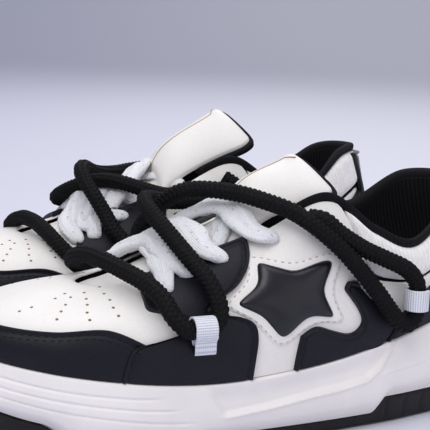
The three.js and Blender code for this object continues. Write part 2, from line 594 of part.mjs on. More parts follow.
/** A webbing band round the rope at one point of its route. */
function webbingLoop(centre, along) {
  const middle = new THREE.Vector3(...centre);
  const axis = new THREE.Vector3(...along).normalize();
  const out = new THREE.Vector3(1, 0, 0).addScaledVector(axis, -axis.x).normalize();
  const side = new THREE.Vector3().crossVectors(axis, out);
  const inner = ROPE_DIAMETER / 2 + WEBBING.clear;
  const grid = (radius) => steps(12, 0, 2 * Math.PI).slice(0, -1).map((a) =>
    [-0.5, 0.5].map((end) => middle.clone()
      .addScaledVector(out, Math.cos(a) * radius)
      .addScaledVector(side, Math.sin(a) * radius)
      .addScaledVector(axis, end * WEBBING.width)));
  return sheetBody(grid(inner + WEBBING.thick), grid(inner), true);
}

// ---------------------------------------------------------------- manifold helpers
function toManifold(geometry) {
  const position = geometry.attributes.position;
  const seen = new Map();
  const vertices = [];
  const place = (i) => {
    const p = [position.getX(i), position.getY(i), position.getZ(i)];
    const key = p.map((v) => Math.round(v * 1e4)).join();
    if (!seen.has(key)) {
      seen.set(key, vertices.length / 3);
      vertices.push(...p);
    }
    return seen.get(key);
  };
  const triangles = Array.from(geometry.index.array, place);
  return new wasm.Manifold(new wasm.Mesh({
    numProp: 3,
    vertProperties: new Float32Array(vertices),
    triVerts: new Uint32Array(triangles),
  }));
}

function fromManifold(solid) {
  const mesh = solid.getMesh();
  const geometry = new THREE.BufferGeometry();
  geometry.setAttribute("position", new THREE.BufferAttribute(mesh.vertProperties, 3));
  geometry.setIndex(new THREE.BufferAttribute(mesh.triVerts, 1));
  return geometry;
}

// ---------------------------------------------------------------- the assembly
const finish = (color, roughness) => new THREE.MeshStandardMaterial({ color, roughness, metalness: 0 });
const WHITE_LEATHER = finish("#efedeb", 0.5);
const BLACK_LEATHER = finish("#2b2b33", 0.45);
const STAR_FILM = finish("#26262f", 0.25);
const FOAM = finish("#e9e8ee", 0.55);
const RUBBER_BLACK = finish("#1d1d22", 0.7);
const KNIT = finish("#17171b", 0.95);
const RIB = finish("#f1f0f2", 0.8);
const ROPE = finish("#1b1b1f", 0.9);
const COTTON = finish("#e8eaf2", 0.85);
const BOARD_GREY = finish("#b9b6ae", 0.9);

const PIECES = [
  ["outsole", RUBBER_BLACK, outsole],
  ["midsole", FOAM, midsole],
  ["lasting_board", BOARD_GREY, () => bedLayer(BOARD_FIT, GAP, BOARD)],
  ["insole", KNIT, () => bedLayer(INSOLE_FIT, GAP * 2 + BOARD, INSOLE)],
  ["lining", KNIT, lining],
  ["vamp", WHITE_LEATHER, () => panelBody(VAMP, LEATHER, 7, 2)],
  ["quarter_outer", WHITE_LEATHER, () => panelBody(QUARTER, LEATHER, 6, 1)],
  ["quarter_inner", WHITE_LEATHER, () => panelBody(mirrored(QUARTER), LEATHER, 6, 1)],
  ["toe_rand", BLACK_LEATHER, () => panelBody(MUDGUARD, OVERLAY, 3, 2)],
  ["side_panel_outer", BLACK_LEATHER, () => panelBody(SIDE_PANEL, OVERLAY, 4, 1)],
  ["side_panel_inner", BLACK_LEATHER, () => panelBody(mirrored(SIDE_PANEL), OVERLAY, 4, 1)],
  ["wing_outer", BLACK_LEATHER, () => panelBody(WING, OVERLAY, 3, 1)],
  ["wing_inner", BLACK_LEATHER, () => panelBody(mirrored(WING), OVERLAY, 3, 1)],
  ["heel_counter", BLACK_LEATHER, () => panelBody(COUNTER, OVERLAY, 4, 1)],
  ["heel_strip", BLACK_LEATHER, heelStrip],
  ["ribbed_collar", RIB, () => panelBody(COLLAR, PADDED, 3, 1)],
  ["collar_binding", KNIT, binding],
  ["star_outer", STAR_FILM, () => star(false)],
  ["star_inner", STAR_FILM, () => star(true)],
  ["tongue_lower", WHITE_LEATHER, tongueLower],
  ["tongue_top", WHITE_LEATHER, tongueTop],
  ["tongue_lining", KNIT, tongueLining],
  ["flat_lace", COTTON, flatLace],
];
const LOOPS = {
  loop_front_outer: [FRONT_OUTER, [0, 1, 0]],
  loop_rear_outer: [REAR_OUTER, [0, 0, 1]],
  loop_front_inner: [FRONT_INNER, [0, 1, 0]],
  loop_rear_inner: [REAR_INNER, [0, 0, 1]],
};

/** One shoe; side is 1 for the left and -1 for its mirror image, the right. */
function shoe(prefix, side, route) {
  const group = new THREE.Group();
  group.position.x = (side * SHOE_SPACING) / 2;
  const add = (name, material, geometry) => {
    if (side < 0) mirror(geometry);
    const mesh = new THREE.Mesh(geometry, material);
    mesh.name = `${prefix}_${name}`;
    group.add(mesh);
  };
  for (const [name, material, make] of PIECES) add(name, material, make());
  add("rope_lace", ROPE, ropeLace(route));
  for (const [name, [centre, along]] of Object.entries(LOOPS)) add(name, COTTON, webbingLoop(centre, along));
  return group;
}

/** Turns a geometry into its mirror image across X, with its faces still pointing out. */
function mirror(geometry) {
  geometry.scale(-1, 1, 1);
  if (!geometry.index) geometry.setIndex([...Array(geometry.attributes.position.count).keys()]);
  const index = geometry.index.array;
  for (let i = 0; i < index.length; i += 3) [index[i + 1], index[i + 2]] = [index[i + 2], index[i + 1]];
}

const pair = new THREE.Group();
pair.add(shoe("left", 1, ROPE_LEFT));
pair.add(shoe("right", -1, ROPE_RIGHT));
pair.updateMatrixWorld(true);

// the origin is the middle of the pair's footprint, on the ground
const box = new THREE.Box3().setFromObject(pair);
pair.position.set(-(box.min.x + box.max.x) / 2, -(box.min.y + box.max.y) / 2, -box.min.z);

export default pair;
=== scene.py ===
"""Looks of a pair of thick-soled trainers with rope laces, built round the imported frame.

Every shape is worked out for the left shoe in millimetres, in a frame with its origin under the middle of
the sole, x towards the outside, toes towards -y and z up. The right shoe is its mirror image, apart from
the way the rope crosses itself.
"""

import bmesh
import bpy
import numpy as np
from mathutils import Matrix, Vector


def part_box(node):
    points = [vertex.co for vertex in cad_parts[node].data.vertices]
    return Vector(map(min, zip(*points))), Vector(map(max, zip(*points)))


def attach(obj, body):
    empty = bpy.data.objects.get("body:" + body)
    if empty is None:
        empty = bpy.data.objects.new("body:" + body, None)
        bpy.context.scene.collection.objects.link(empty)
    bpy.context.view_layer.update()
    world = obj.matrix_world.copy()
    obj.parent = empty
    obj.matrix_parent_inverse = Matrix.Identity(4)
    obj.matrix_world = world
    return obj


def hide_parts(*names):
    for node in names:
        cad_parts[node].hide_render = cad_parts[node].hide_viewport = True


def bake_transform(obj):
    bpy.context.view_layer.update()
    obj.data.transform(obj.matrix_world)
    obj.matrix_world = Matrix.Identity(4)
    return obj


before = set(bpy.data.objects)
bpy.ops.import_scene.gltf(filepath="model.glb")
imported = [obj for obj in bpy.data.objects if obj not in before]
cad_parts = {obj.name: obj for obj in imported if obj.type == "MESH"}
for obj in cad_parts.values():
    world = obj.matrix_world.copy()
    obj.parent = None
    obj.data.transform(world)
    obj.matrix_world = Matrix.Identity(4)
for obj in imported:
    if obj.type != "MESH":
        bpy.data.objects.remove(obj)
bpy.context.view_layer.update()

# ------------------------------------------------------------------ sizes, in millimetres
LENGTH = 288
WIDTH = 108
SOLE_HEIGHT = 62
UPPER_HEIGHT = 80
LINING = (-5.4, -2.8)  # the upper's layers, as distances from its mean outer face
LEATHER = (-1.9, -0.5)
OVERLAY = (-0.6, 1.4)
WAIST = -2.0
BULGE = 4.2
LEDGE = 2.4
UPPER_SEAT = 8.6
RUBBER = 3.0
TREAD = 5.5
EDGE_IN, EDGE_UP = 4, 1.6  # the rounded edge under the outsole
GROOVE_PITCH, RIB_PITCH, SLIT_PITCH = 22, 5.5, 12
RIM_MID, RIM_END = 6.5, 14
TOE_SPRING, HEEL_SPRING = 14, 3
BED_TOE, BED_HEEL = 23, 33
BOARD, INSOLE = 1.6, 5.0
GAP = 0.35  # between the foam and what it touches
ROPE_RADIUS = 4.25
WEBBING_WIDTH, WEBBING_THICK, WEBBING_CLEAR = 10.3, 1.1, 0.6
TRIM_R = 0.95
STITCH_IN, STITCH_LIFT = 2.7, 0.85  # of the stitch line beside a rolled edge
BINDING_END = 4.62  # the station where the collar's binding ends on each side
RING = 512  # points round a ring of the sole

# ------------------------------------------------------------------ the last
# Stations from the heel round the outside to the toe and back along the inside. Each row holds the foot
# outline (x, y and height, as shares of WIDTH, LENGTH and SOLE_HEIGHT), the rim outline (x, y, and its
# height over the foot as a share of UPPER_HEIGHT) and the section's rise, flare, reach and drop.
STATIONS = np.array([
    (0, 0.468, 1.0, 0, 0.455, 0.69, 0.25, 0.028, 0.037, 0.22),
    (0.255, 0.43, 0.94, 0.215, 0.405, 0.69, 0.22, 0.028, 0.046, 0.22),
    (0.365, 0.31, 0.79, 0.315, 0.305, 0.53, 0.19, 0.019, 0.056, 0.18),
    (0.415, 0.19, 0.66, 0.3, 0.225, 0.725, 0.25, 0.019, 0.093, 0.22),
    (0.44, 0.08, 0.58, 0.26, 0.135, 1.0, 0.32, 0.019, 0.13, 0.27),
    (0.455, -0.03, 0.54, 0.2, 0.03, 0.84, 0.32, 0.019, 0.167, 0.18),
    (0.47, -0.13, 0.555, 0.165, -0.075, 0.68, 0.3, 0.019, 0.204, 0.125),
    (0.465, -0.23, 0.61, 0.135, -0.165, 0.515, 0.25, 0.028, 0.222, 0.1),
    (0.4, -0.34, 0.69, 0.095, -0.22, 0.4, 0.225, 0.037, 0.26, 0.075),
    (0.23, -0.43, 0.76, 0.05, -0.24, 0.34, 0.225, 0.046, 0.315, 0.075),
    (-0.03, -0.468, 0.79, 0, -0.246, 0.315, 0.225, 0.046, 0.352, 0.075),
    (-0.27, -0.425, 0.76, -0.05, -0.24, 0.34, 0.225, 0.046, 0.315, 0.075),
    (-0.41, -0.335, 0.69, -0.095, -0.22, 0.4, 0.225, 0.037, 0.26, 0.075),
    (-0.445, -0.22, 0.61, -0.135, -0.165, 0.515, 0.25, 0.028, 0.222, 0.1),
    (-0.42, -0.115, 0.565, -0.165, -0.075, 0.675, 0.32, 0.019, 0.204, 0.125),
    (-0.37, 0, 0.58, -0.2, 0.03, 0.81, 0.35, 0.019, 0.148, 0.18),
    (-0.345, 0.105, 0.645, -0.26, 0.135, 0.95, 0.35, 0.019, 0.093, 0.27),
    (-0.345, 0.205, 0.71, -0.3, 0.225, 0.71, 0.275, 0.019, 0.074, 0.22),
    (-0.33, 0.315, 0.81, -0.31, 0.3, 0.6, 0.22, 0.019, 0.056, 0.2),
    (-0.245, 0.43, 0.94, -0.215, 0.385, 0.72, 0.25, 0.028, 0.046, 0.22),
])
ROUND = len(STATIONS)
UNITS = np.array([WIDTH, LENGTH, SOLE_HEIGHT, WIDTH, LENGTH, UPPER_HEIGHT, UPPER_HEIGHT, WIDTH, WIDTH,
                  UPPER_HEIGHT])
ROWS = STATIONS * UNITS
ROWS[:, 5] += ROWS[:, 2]
UP = np.array([0.0, 0.0, 1.0])


def unit(vectors):
    """Vectors of length one along the last axis."""
    return vectors / np.maximum(np.linalg.norm(vectors, axis=-1, keepdims=True), 1e-12)


def catmull(a, b, c, d, f):
    """Uniform Catmull-Rom value between b and c, with neighbours a and d."""
    return 0.5 * (2 * b + (c - a) * f + (2 * a - 5 * b + 4 * c - d) * f**2 + (3 * b - a - 3 * c + d) * f**3)


def station(t):
    """The ten station values at t, a number of stations round the last from the heel."""
    t = np.asarray(t, float)
    i = np.floor(t).astype(int)
    rows = [ROWS[(i + k) % ROUND] for k in (-1, 0, 1, 2)]
    return catmull(*rows, (t - i)[..., None])


def curve(points, u):
    """Open Catmull-Rom through points; u counts them."""
    points = np.asarray(points, float)
    i = np.clip(np.floor(u).astype(int), 0, len(points) - 2)
    rows = [points[np.clip(i + k, 0, len(points) - 1)] for k in (-1, 0, 1, 2)]
    return catmull(*rows, (u - i)[..., None])


def outward(t):
    """Level unit vector out of the sole's outline at t."""
    step = station(t + 0.01)[..., :2] - station(t - 0.01)[..., :2]
    return unit(np.stack([-step[..., 1], step[..., 0], 0 * step[..., 0]], -1))


def face(t, r):
    """The upper's mean face: a cubic from the sole (r = 0) to the collar's rim (r = 1)."""
    t, r = np.broadcast_arrays(np.asarray(t, float), np.asarray(r, float))
    s, out, r = station(t), outward(t), r[..., None]
    foot, rim = s[..., 0:3], s[..., 3:6]
    low = foot + UP * s[..., 6:7] + out * s[..., 7:8]
    high = rim + out * s[..., 8:9] - UP * s[..., 9:10]
    return (1 - r) ** 3 * foot + 3 * (1 - r) ** 2 * r * low + 3 * (1 - r) * r**2 * high + r**3 * rim


def normal(t, r):
    """Outward normal of the mean face, turned level at the sole."""
    step = 0.004
    near = np.clip(r, step, 1 - step)
    along = face(t + step, near) - face(t - step, near)
    up = face(t, near + step) - face(t, near - step)
    n = unit(np.cross(up, along))
    n[..., 2] *= np.minimum(1, near / 0.1)
    return unit(n)


def skin(t, r, lift=0.0):
    """A point on the upper, lifted off its mean face."""
    t, r = np.broadcast_arrays(np.asarray(t, float), np.asarray(r, float))
    return face(t, r) + normal(t, r) * np.broadcast_to(lift, t.shape)[..., None]


def bridge(t, x, lift=0.0):
    """A point over the throat: x across, on the arch that joins the two rims at station t."""
    t, x = np.broadcast_arrays(np.asarray(t, float), np.asarray(x, float))
    out, inn = station(t), station(ROUND - t)
    half = np.maximum((out[..., 3] - inn[..., 3]) / 2, 1)
    slope = np.minimum(out[..., 9] / out[..., 8], 0.7)
    side = np.abs(x)
    arch = np.where(side < half, slope * (half**2 - x**2) / (2 * half), -slope * (side - half))
    return np.stack([x, (out[..., 4] + inn[..., 4]) / 2, (out[..., 5] + inn[..., 5]) / 2 + arch + lift], -1)


def throat_half(t):
    """Half the distance between the two rims at station t."""
    return (station(t)[..., 3] - station(ROUND - np.asarray(t, float))[..., 3]) / 2


def step01(x):
    """Smooth step from 0 to 1."""
    x = np.clip(x, 0, 1)
    return x * x * (3 - 2 * x)


def bump(x, width):
    """A bell of height one and the given half width."""
    return np.exp(-((x / width) ** 2))


def lengths(points):
    """Distance run along a line of points."""
    return np.concatenate([[0], np.cumsum(np.linalg.norm(np.diff(points, axis=0), axis=1))])


def points_at(at, run, line):
    """The points of a line at the distances at; run holds the distance of each point that it has."""
    return np.stack([np.interp(at, run, column) for column in line.T], -1)


def resample(points, count):
    """The same line with evenly spaced points."""
    run = lengths(points)
    return points_at(np.linspace(0, run[-1], count), run, points)


def relaxed(line, passes):
    """An open line rounded by averaging neighbours, with its ends left in place."""
    for _ in range(passes):
        line[1:-1] = (line[:-2] + 2 * line[1:-1] + line[2:]) / 4
    return line


def circle(count):
    """Angles evenly round a full turn."""
    return np.linspace(0, 2 * np.pi, count + 1)[:-1]


def squarer(wave, power):
    """A sine or cosine pushed out towards a square wave."""
    return np.sign(wave) * np.abs(wave) ** power


def grids(rows, columns):
    """Two grids: rows' values down and columns' values across."""
    return np.meshgrid(rows, columns, indexing="ij")


# ------------------------------------------------------------------ meshes from grids
class Shell:
    """Vertices, faces and corner UVs gathered from grids of points."""

    def __init__(self):
        self.points, self.faces, self.uvs, self.count = [], [], [], 0

    def grid(self, points, uv=None, wrap=(False, False)):
        """Adds a grid of points as quads and returns its vertex numbers; wrap joins last to first."""
        rows, columns = points.shape[:2]
        index = self.count + np.arange(rows * columns).reshape(rows, columns)
        self.points.append(points.reshape(-1, 3))
        self.count += rows * columns
        i, j = grids(np.arange(rows - (not wrap[0])), np.arange(columns - (not wrap[1])))
        corners = [(i, j), (i + 1, j), (i + 1, j + 1), (i, j + 1)]
        self.faces.append(np.stack([index[a % rows, b % columns].ravel() for a, b in corners], -1))
        if uv is None:
            uv = np.zeros((rows + 1, columns + 1, 2))
        self.uvs.append(np.stack([uv[a, b].reshape(-1, 2) for a, b in corners], 1))
        return index

    def join(self, a, b, closed=False):
        """Quads between two rows of vertex numbers."""
        if closed:
            a, b = np.append(a, a[0]), np.append(b, b[0])
        self.faces.append(np.stack([a[:-1], a[1:], b[1:], b[:-1]], -1))
        self.uvs.append(np.zeros((len(a) - 1, 4, 2)))

    def rim(self, outer, inner):
        """Joins two grids' borders all round."""
        for side in (np.s_[0], np.s_[-1], np.s_[:, 0], np.s_[:, -1]):
            self.join(outer[side], inner[side])

    def hems(self, outer, inner):
        """Joins an outer and an inner sleeve at both their ends."""
        for end in (0, -1):
            self.join(outer[:, end], inner[:, end], closed=True)

    def caps(self, index):
        """Closes both ends of a tube's grid by quads straight across its first and last ring."""
        half = index.shape[1] // 2
        for ring in (index[0], index[-1]):
            self.join(ring[:half], ring[half:][::-1])

    def ladder(self, ring, points_of, across=16):
        """Closes a ring by rungs from one side to the other; points_of lays the rungs' points."""
        n = len(ring)
        near, far = np.arange(n // 2 + 1), (n - np.arange(n // 2 + 1)) % n
        self.grid(points_of(near, far, np.linspace(0, 1, across)))

    def beads(self, template, faces, frames, centres):
        """Copies of a small closed shape, one at each centre, turned by its frame."""
        points = np.einsum("vk,nkj->nvj", template, frames) + centres[:, None, :]
        n, v = points.shape[:2]
        self.points.append(points.reshape(-1, 3))
        self.faces.append((faces[None] + v * np.arange(n)[:, None, None]).reshape(-1, 4) + self.count)
        self.uvs.append(np.zeros((n * len(faces), 4, 2)))
        self.count += n * v


def object_of(name, shell, material, side, where):
    """A Blender object from a shell: mirrored for the right shoe, moved into place and turned outwards."""
    points = np.concatenate(shell.points) * np.array([side, 1, 1]) + where
    faces = np.concatenate(shell.faces)
    uvs = np.concatenate(shell.uvs)
    mesh = bpy.data.meshes.new(name)
    mesh.vertices.add(len(points))
    mesh.vertices.foreach_set("co", (points / 1000).astype(np.float32).ravel())
    mesh.loops.add(faces.size)
    mesh.loops.foreach_set("vertex_index", faces.astype(np.int32).ravel())
    mesh.polygons.add(len(faces))
    mesh.polygons.foreach_set("loop_start", np.arange(0, faces.size, 4, dtype=np.int32))
    mesh.uv_layers.new(name="UVMap").data.foreach_set("uv", uvs.astype(np.float32).ravel())
    mesh.update(calc_edges=True)
    work = bmesh.new()
    work.from_mesh(mesh)
    bmesh.ops.remove_doubles(work, verts=work.verts, dist=2e-6)
    bmesh.ops.dissolve_degenerate(work, edges=work.edges, dist=1e-7)
    bmesh.ops.recalc_face_normals(work, faces=work.faces)
    work.to_mesh(mesh)
    work.free()
    mesh.shade_smooth()
    mesh.materials.append(material)
    piece = bpy.data.objects.new(name, mesh)
    bpy.context.scene.collection.objects.link(piece)
    return piece


def own_middle():
    """Where the middle of the midsole's own outline lies in the shoe's frame."""
    t = np.linspace(0, ROUND, 2 * ROUND + 1)[:-1]
    ring = station(t)[:, :2] + outward(t)[:, :2] * BULGE
    return (ring.min(0) + ring.max(0)) / 2


def shoe_place(side):
    """The move that puts a shoe's own frame onto the frame's midsole."""
    low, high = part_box(("left" if side > 0 else "right") + "_midsole")
    middle, cad_middle = own_middle(), (low + high) * 500
    return np.array([cad_middle.x - side * middle[0], cad_middle.y - middle[1], 0.0])


SIDES = {"left": (1, shoe_place(1)), "right": (-1, shoe_place(-1))}


def both(name, make, material, nodes=(), body="shoe"):
    """Makes a piece for each shoe and ties it to the frame, except that pieces for body "tongue_bend" are
    only baked in place; make is a shell or a function of the shoe.
    """
    for shoe, (side, where) in SIDES.items():
        shell = make(shoe) if callable(make) else make
        piece = object_of(f"{shoe}_{name}", shell, material, side, where)
        if body == "tongue_bend":
            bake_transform(piece)
        else:
            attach(piece, f"{shoe}_{body}")
        if nodes:
            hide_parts(*[f"{shoe}_{node}" for node in nodes])


# ------------------------------------------------------------------ materials
class Value:
    """A shader socket that takes part in ordinary sums."""

    def __init__(self, shader, socket):
        self.shader, self.socket = shader, socket

    def _with(self, operation, *others):
        return self.shader.node("ShaderNodeMath", {"operation": operation}, *others)

    def __add__(self, other):
        return self._with("ADD", self, other)

    def __sub__(self, other):
        return self._with("SUBTRACT", self, other)

    def __rsub__(self, other):
        return self._with("SUBTRACT", other, self)

    def __mul__(self, other):
        return self._with("MULTIPLY", self, other)

    def __truediv__(self, other):
        return self._with("DIVIDE", self, other)

    def power(self, other):
        return self._with("POWER", self, other)

    def sine(self):
        return self._with("SINE", self)

    def size(self):
        return self._with("ABSOLUTE", self)

    def wrap(self):
        return self._with("FRACT", self)

    def above(self, low, high):
        """0 below low, 1 above high, smooth between."""
        settings = {"interpolation_type": "SMOOTHSTEP"}
        return self.shader.node("ShaderNodeMapRange", settings, self, low, high)

    __radd__ = __add__
    __rmul__ = __mul__


def shades(hex_code):
    """Linear colour of an sRGB hex code."""
    srgb = np.array([int(hex_code[i:i + 2], 16) for i in (0, 2, 4)]) / 255
    linear = np.where(srgb <= 0.04045, srgb / 12.92, ((srgb + 0.055) / 1.055) ** 2.4)
    return tuple(float(v) for v in linear)


class Shader:
    """One material's nodes round its Principled shader."""

    def __init__(self, name, **constants):
        self.material = bpy.data.materials.new(name)
        self.material.use_nodes = True
        self.tree = self.material.node_tree
        self.main = self.tree.nodes["Principled BSDF"]
        for socket, value in constants.items():
            self.main.inputs[socket.replace("_", " ").title().replace("Ior", "IOR")].default_value = value

    def node(self, kind, settings, *values, output=0, **named):
        """A node of that kind: settings first, then the values or links of its sockets."""
        made = self.tree.nodes.new(kind)
        for key, value in settings.items():
            setattr(made, key, value)
        by_name = [(made.inputs[key.replace("_", " ")], value) for key, value in named.items()]
        for socket, value in [*zip(made.inputs, values), *by_name]:
            if isinstance(value, Value):
                self.tree.links.new(value.socket, socket)
            elif value is not None:
                socket.default_value = value
        return Value(self, made.outputs[output])

    def place(self, output="Object"):
        """Coordinates on the object, in metres, or those of its UV map."""
        return self.node("ShaderNodeTexCoord", {}, output=output)

    def noise(self, scale, detail):
        """Soft noise over the object; scale counts its features in a metre."""
        return self.node("ShaderNodeTexNoise", {}, Vector=self.place(), Scale=scale, Detail=detail)

    def cells(self, scale):
        """Distance from the middle of irregular cells."""
        return self.node("ShaderNodeTexVoronoi", {}, Vector=self.place(), Scale=scale)

    def axis(self, where, name):
        """One coordinate, X, Y or Z, of a vector."""
        return self.node("ShaderNodeSeparateXYZ", {}, where, output=name)

    def blend(self, share, a, b):
        """Colour a where share is 0 and b where it is 1; each is a value or a hex code."""
        mix = self.node("ShaderNodeMix", {"data_type": "RGBA"}, output=2)
        inputs = mix.socket.node.inputs
        self.tree.links.new(share.socket, inputs[0])
        for socket, value in ((inputs[6], a), (inputs[7], b)):
            if isinstance(value, Value):
                self.tree.links.new(value.socket, socket)
            else:
                socket.default_value = (*shades(value), 1)
        return mix

    def feed(self, **sockets):
        """Links values to the Principled shader's sockets."""
        for name, value in sockets.items():
            self.tree.links.new(value.socket, self.main.inputs[name.replace("_", " ")])
        return self

    def raise_by(self, height, distance):
        """Bump: height times distance, in metres."""
        bumped = self.node("ShaderNodeBump", {}, Height=height, Distance=distance, Strength=1.0)
        return self.feed(Normal=bumped)


def leather(name, light, dark, roughness, grain, depth, **constants):
    """Coated leather: small irregular cells, broad soft colour change, rougher in the valleys."""
    shader = Shader(name, roughness=roughness, **constants)
    cells = shader.cells(grain)
    broad = shader.noise(45, 2.0)
    fine = shader.noise(grain * 1.6, 2.0)
    shader.feed(Base_Color=shader.blend((broad * 0.7 + cells * 0.5).above(0.35, 0.95), light, dark))
    shader.feed(Roughness=broad * 0.12 + (roughness - 0.06) + cells * 0.06)
    shader.raise_by(cells * 0.6 + fine * 0.25 + broad * 2.0, depth)
    return shader.material


def moulded(name, light, dark, roughness, **constants):
    """Moulded foam, rubber or board: a faint pebble and soft clouds of colour."""
    shader = Shader(name, roughness=roughness, **constants)
    clouds = shader.noise(30, 2.0)
    pebble = shader.noise(900, 2.0)
    shader.feed(Base_Color=shader.blend(clouds.above(0.3, 0.7), light, dark))
    shader.feed(Roughness=pebble * 0.1 + (roughness - 0.05))
    shader.raise_by(pebble, 0.00006)
    return shader.material


def ribbed(name, light, dark, pitch, depth, across=0.6, **constants):
    """Knit or webbing: rounded ribs along V of the UV, crossed by small stitches along U, with painted shade
    in the valleys between them.
    """
    shader = Shader(name, roughness=0.9, **constants)
    where = shader.place("UV")
    u, v = shader.axis(where, "X"), shader.axis(where, "Y")
    rib = (u * (2 * np.pi / pitch)).sine() * 0.5 + 0.5
    stitch = (v * (2 * np.pi / (pitch * across))).sine() * 0.5 + 0.5
    fibre = shader.noise(2500, 3.0)
    height = rib.power(0.6) * (stitch * 0.4 + 0.6) + fibre * 0.3
    # painted shade: the colour follows the height, so the low valleys between ribs and stitches take the
    # dark colour
    shader.feed(Base_Color=shader.blend(height.above(0.1, 1.0), dark, light))
    shader.raise_by(height, depth)
    return shader.material


def yarn(name, light, dark, depth, roughness=0.9, **constants):
    """Loose yarn: fine fibres and a little unevenness."""
    shader = Shader(name, roughness=roughness, **constants)
    fibre = shader.noise(1800, 4.0)
    clumps = shader.noise(260, 2.0)
    shader.feed(Base_Color=shader.blend((fibre * 0.6 + clumps * 0.4).above(0.3, 0.7), dark, light))
    shader.raise_by(fibre + clumps, depth)
    return shader.material


def flecked_cotton():
    """Flat woven lace: a fine diamond weave with rows of short grey flecks along it."""
    thread, lane_width, fleck_pitch = 4200, 0.0042, 0.0062
    shader = Shader("cotton", roughness=0.85)
    where = shader.place("UV")
    u, v = shader.axis(where, "X"), shader.axis(where, "Y")
    weave = ((u + v) * thread).sine() * ((u - v) * thread).sine()
    lane = v / lane_width
    dash = (u / fleck_pitch + (lane - lane.wrap()) * 0.37).wrap()
    patches = shader.noise(420, 1.0).above(0.42, 0.55)
    fleck = (0.26 - dash).above(0, 0.08) * (0.1 - (lane.wrap() - 0.5).size()).above(0, 0.06) * patches
    fibre = shader.noise(1600, 3.0)
    pale = shader.blend(fibre.above(0.3, 0.7), "ECEDF3", "FBFBFD")
    shader.feed(Base_Color=shader.blend(fleck * 0.55, pale, "8E909C"))
    shader.raise_by(weave * 0.5 + fibre * 0.6, 0.0003)
    return shader.material


WHITE_LEATHER = leather("white_leather", "F6F3EF", "ECE8E4", 0.46, 1900, 0.00005)
BLACK_LEATHER = leather("black_leather", "171722", "0F0F18", 0.42, 1300, 0.0001, specular_ior_level=0.22)
STAR_FILM = leather("star_film", "151520", "0C0C14", 0.3, 2600, 0.00002, specular_ior_level=0.35,
                    coat_weight=0.2, coat_roughness=0.2)
PATENT = leather("patent_black", "14141B", "0C0C12", 0.24, 2600, 0.00002, specular_ior_level=0.4,
                 coat_weight=0.3, coat_roughness=0.15)
FOAM = moulded("white_foam", "F8F3F1", "F0EBEA", 0.5)
RUBBER_BLACK = moulded("black_rubber", "18181D", "0F0F13", 0.55, specular_ior_level=0.3)
BOARD_FIBRE = moulded("board", "B9B6AE", "A19E96", 0.9)
# in the ribbed materials the second colour is painted shade for the valleys between the ribs
KNIT = ribbed("black_knit", "1A1A1F", "07070A", 0.0011, 0.0003, specular_ior_level=0.25)
LINING_KNIT = ribbed("lining_knit", "1C1C22", "050507", 0.0021, 0.0006, specular_ior_level=0.3)
RIB_CLOTH = yarn("ribbed_cloth", "FAF8F7", "ECE9EA", 0.00006)
ROPE_YARN = yarn("rope_yarn", "0E0E12", "030304", 0.00025, roughness=0.7, specular_ior_level=0.2)
COTTON = flecked_cotton()
# the webbing's second colour is painted shade in the valleys between its ribs
WEBBING_CLOTH = ribbed("webbing", "F2F4FB", "C9CDDA", 0.0012, 0.0003, across=0.9)
THREAD_BLACK = yarn("thread_black", "08080B", "020203", 0.0001)
THREAD_WHITE = yarn("thread_white", "DAD6D2", "B9B4AE", 0.0001)
TAN_EDGE = moulded("tan_edge", "B99A78", "9C7F60", 0.8)
HOLE_DARK = moulded("hole_dark", "8D7C6C", "6C5D50", 0.95)

# ------------------------------------------------------------------ the sole
PERIMETER = np.linspace(0, ROUND, 4001)
OUTLINE_RUN = lengths(station(PERIMETER)[:, :2])
RUN = np.linspace(0, OUTLINE_RUN[-1], RING + 1)[:-1]
AROUND = np.interp(RUN, OUTLINE_RUN, PERIMETER)


def ground_at(y):
    """Height of the tread: flat under the foot, turned up at toe and heel."""
    toe = np.maximum(0, -0.215 * LENGTH - y) / (0.285 * LENGTH)
    heel = np.maximum(0, y - 0.41 * LENGTH) / (0.06 * LENGTH)
    return TOE_SPRING * toe**2 + HEEL_SPRING * heel**2


def rim_at(y):
    """Height of the outsole's rim: low at mid-foot, with a short ramp up to the heel and the toe."""
    heel = step01((y - 0.215 * LENGTH) / (0.03 * LENGTH))
    toe = step01((-0.3 * LENGTH - y) / (0.06 * LENGTH))
    return ground_at(y) + RIM_MID + (RIM_END - RIM_MID) * np.maximum(heel, toe)


def bed_at(y):
    """Height of the footbed."""
    slope = (BED_HEEL - BED_TOE) * step01(y / (0.8 * LENGTH) + 0.5)
    return BED_TOE + slope + 0.5 * ground_at(np.minimum(y, 0))


def sole_ring(offset, height):
    """A ring round the sole: the outline moved out by offset, at the height its rule gives."""
    s = station(AROUND)
    points = s[:, :3] * (1, 1, 0) + outward(AROUND) * np.broadcast_to(offset, AROUND.shape)[:, None]
    points[:, 2] = height(points[:, 1], s[:, 2])
    return points


def rungs(ring, height):
    """Lays a ladder's points: straight across from side to side, at the height of their own place."""
    def lay(near, far, share):
        points = ring[near][:, None] * (1 - share)[None, :, None] + ring[far][:, None] * share[None, :, None]
        points[1:-1, 1:-1, 2] = height(points[1:-1, 1:-1])
        return points
    return lay


def stacked(rings, floor, floor_across, roof, roof_across):
    """Rings joined one above the other, closed by ladders whose heights are floor and roof of the points."""
    shell = Shell()
    index = shell.grid(np.array(rings), wrap=(False, True))
    shell.ladder(index[0], rungs(rings[0], floor), floor_across)
    shell.ladder(index[-1], rungs(rings[-1], roof), roof_across)
    return shell


def off_middle(along, pitch):
    """Distance to the nearest multiple of the pitch, with its sign."""
    return ((along / pitch + 0.5) % 1 - 0.5) * pitch


def slits():
    """How deep the sidewall's upright slits are round the sole, at the heel only."""
    y = station(AROUND)[:, 1]
    return 1.1 * bump(off_middle(RUN, SLIT_PITCH), 0.75) * step01((y - 0.24 * LENGTH) / 6)


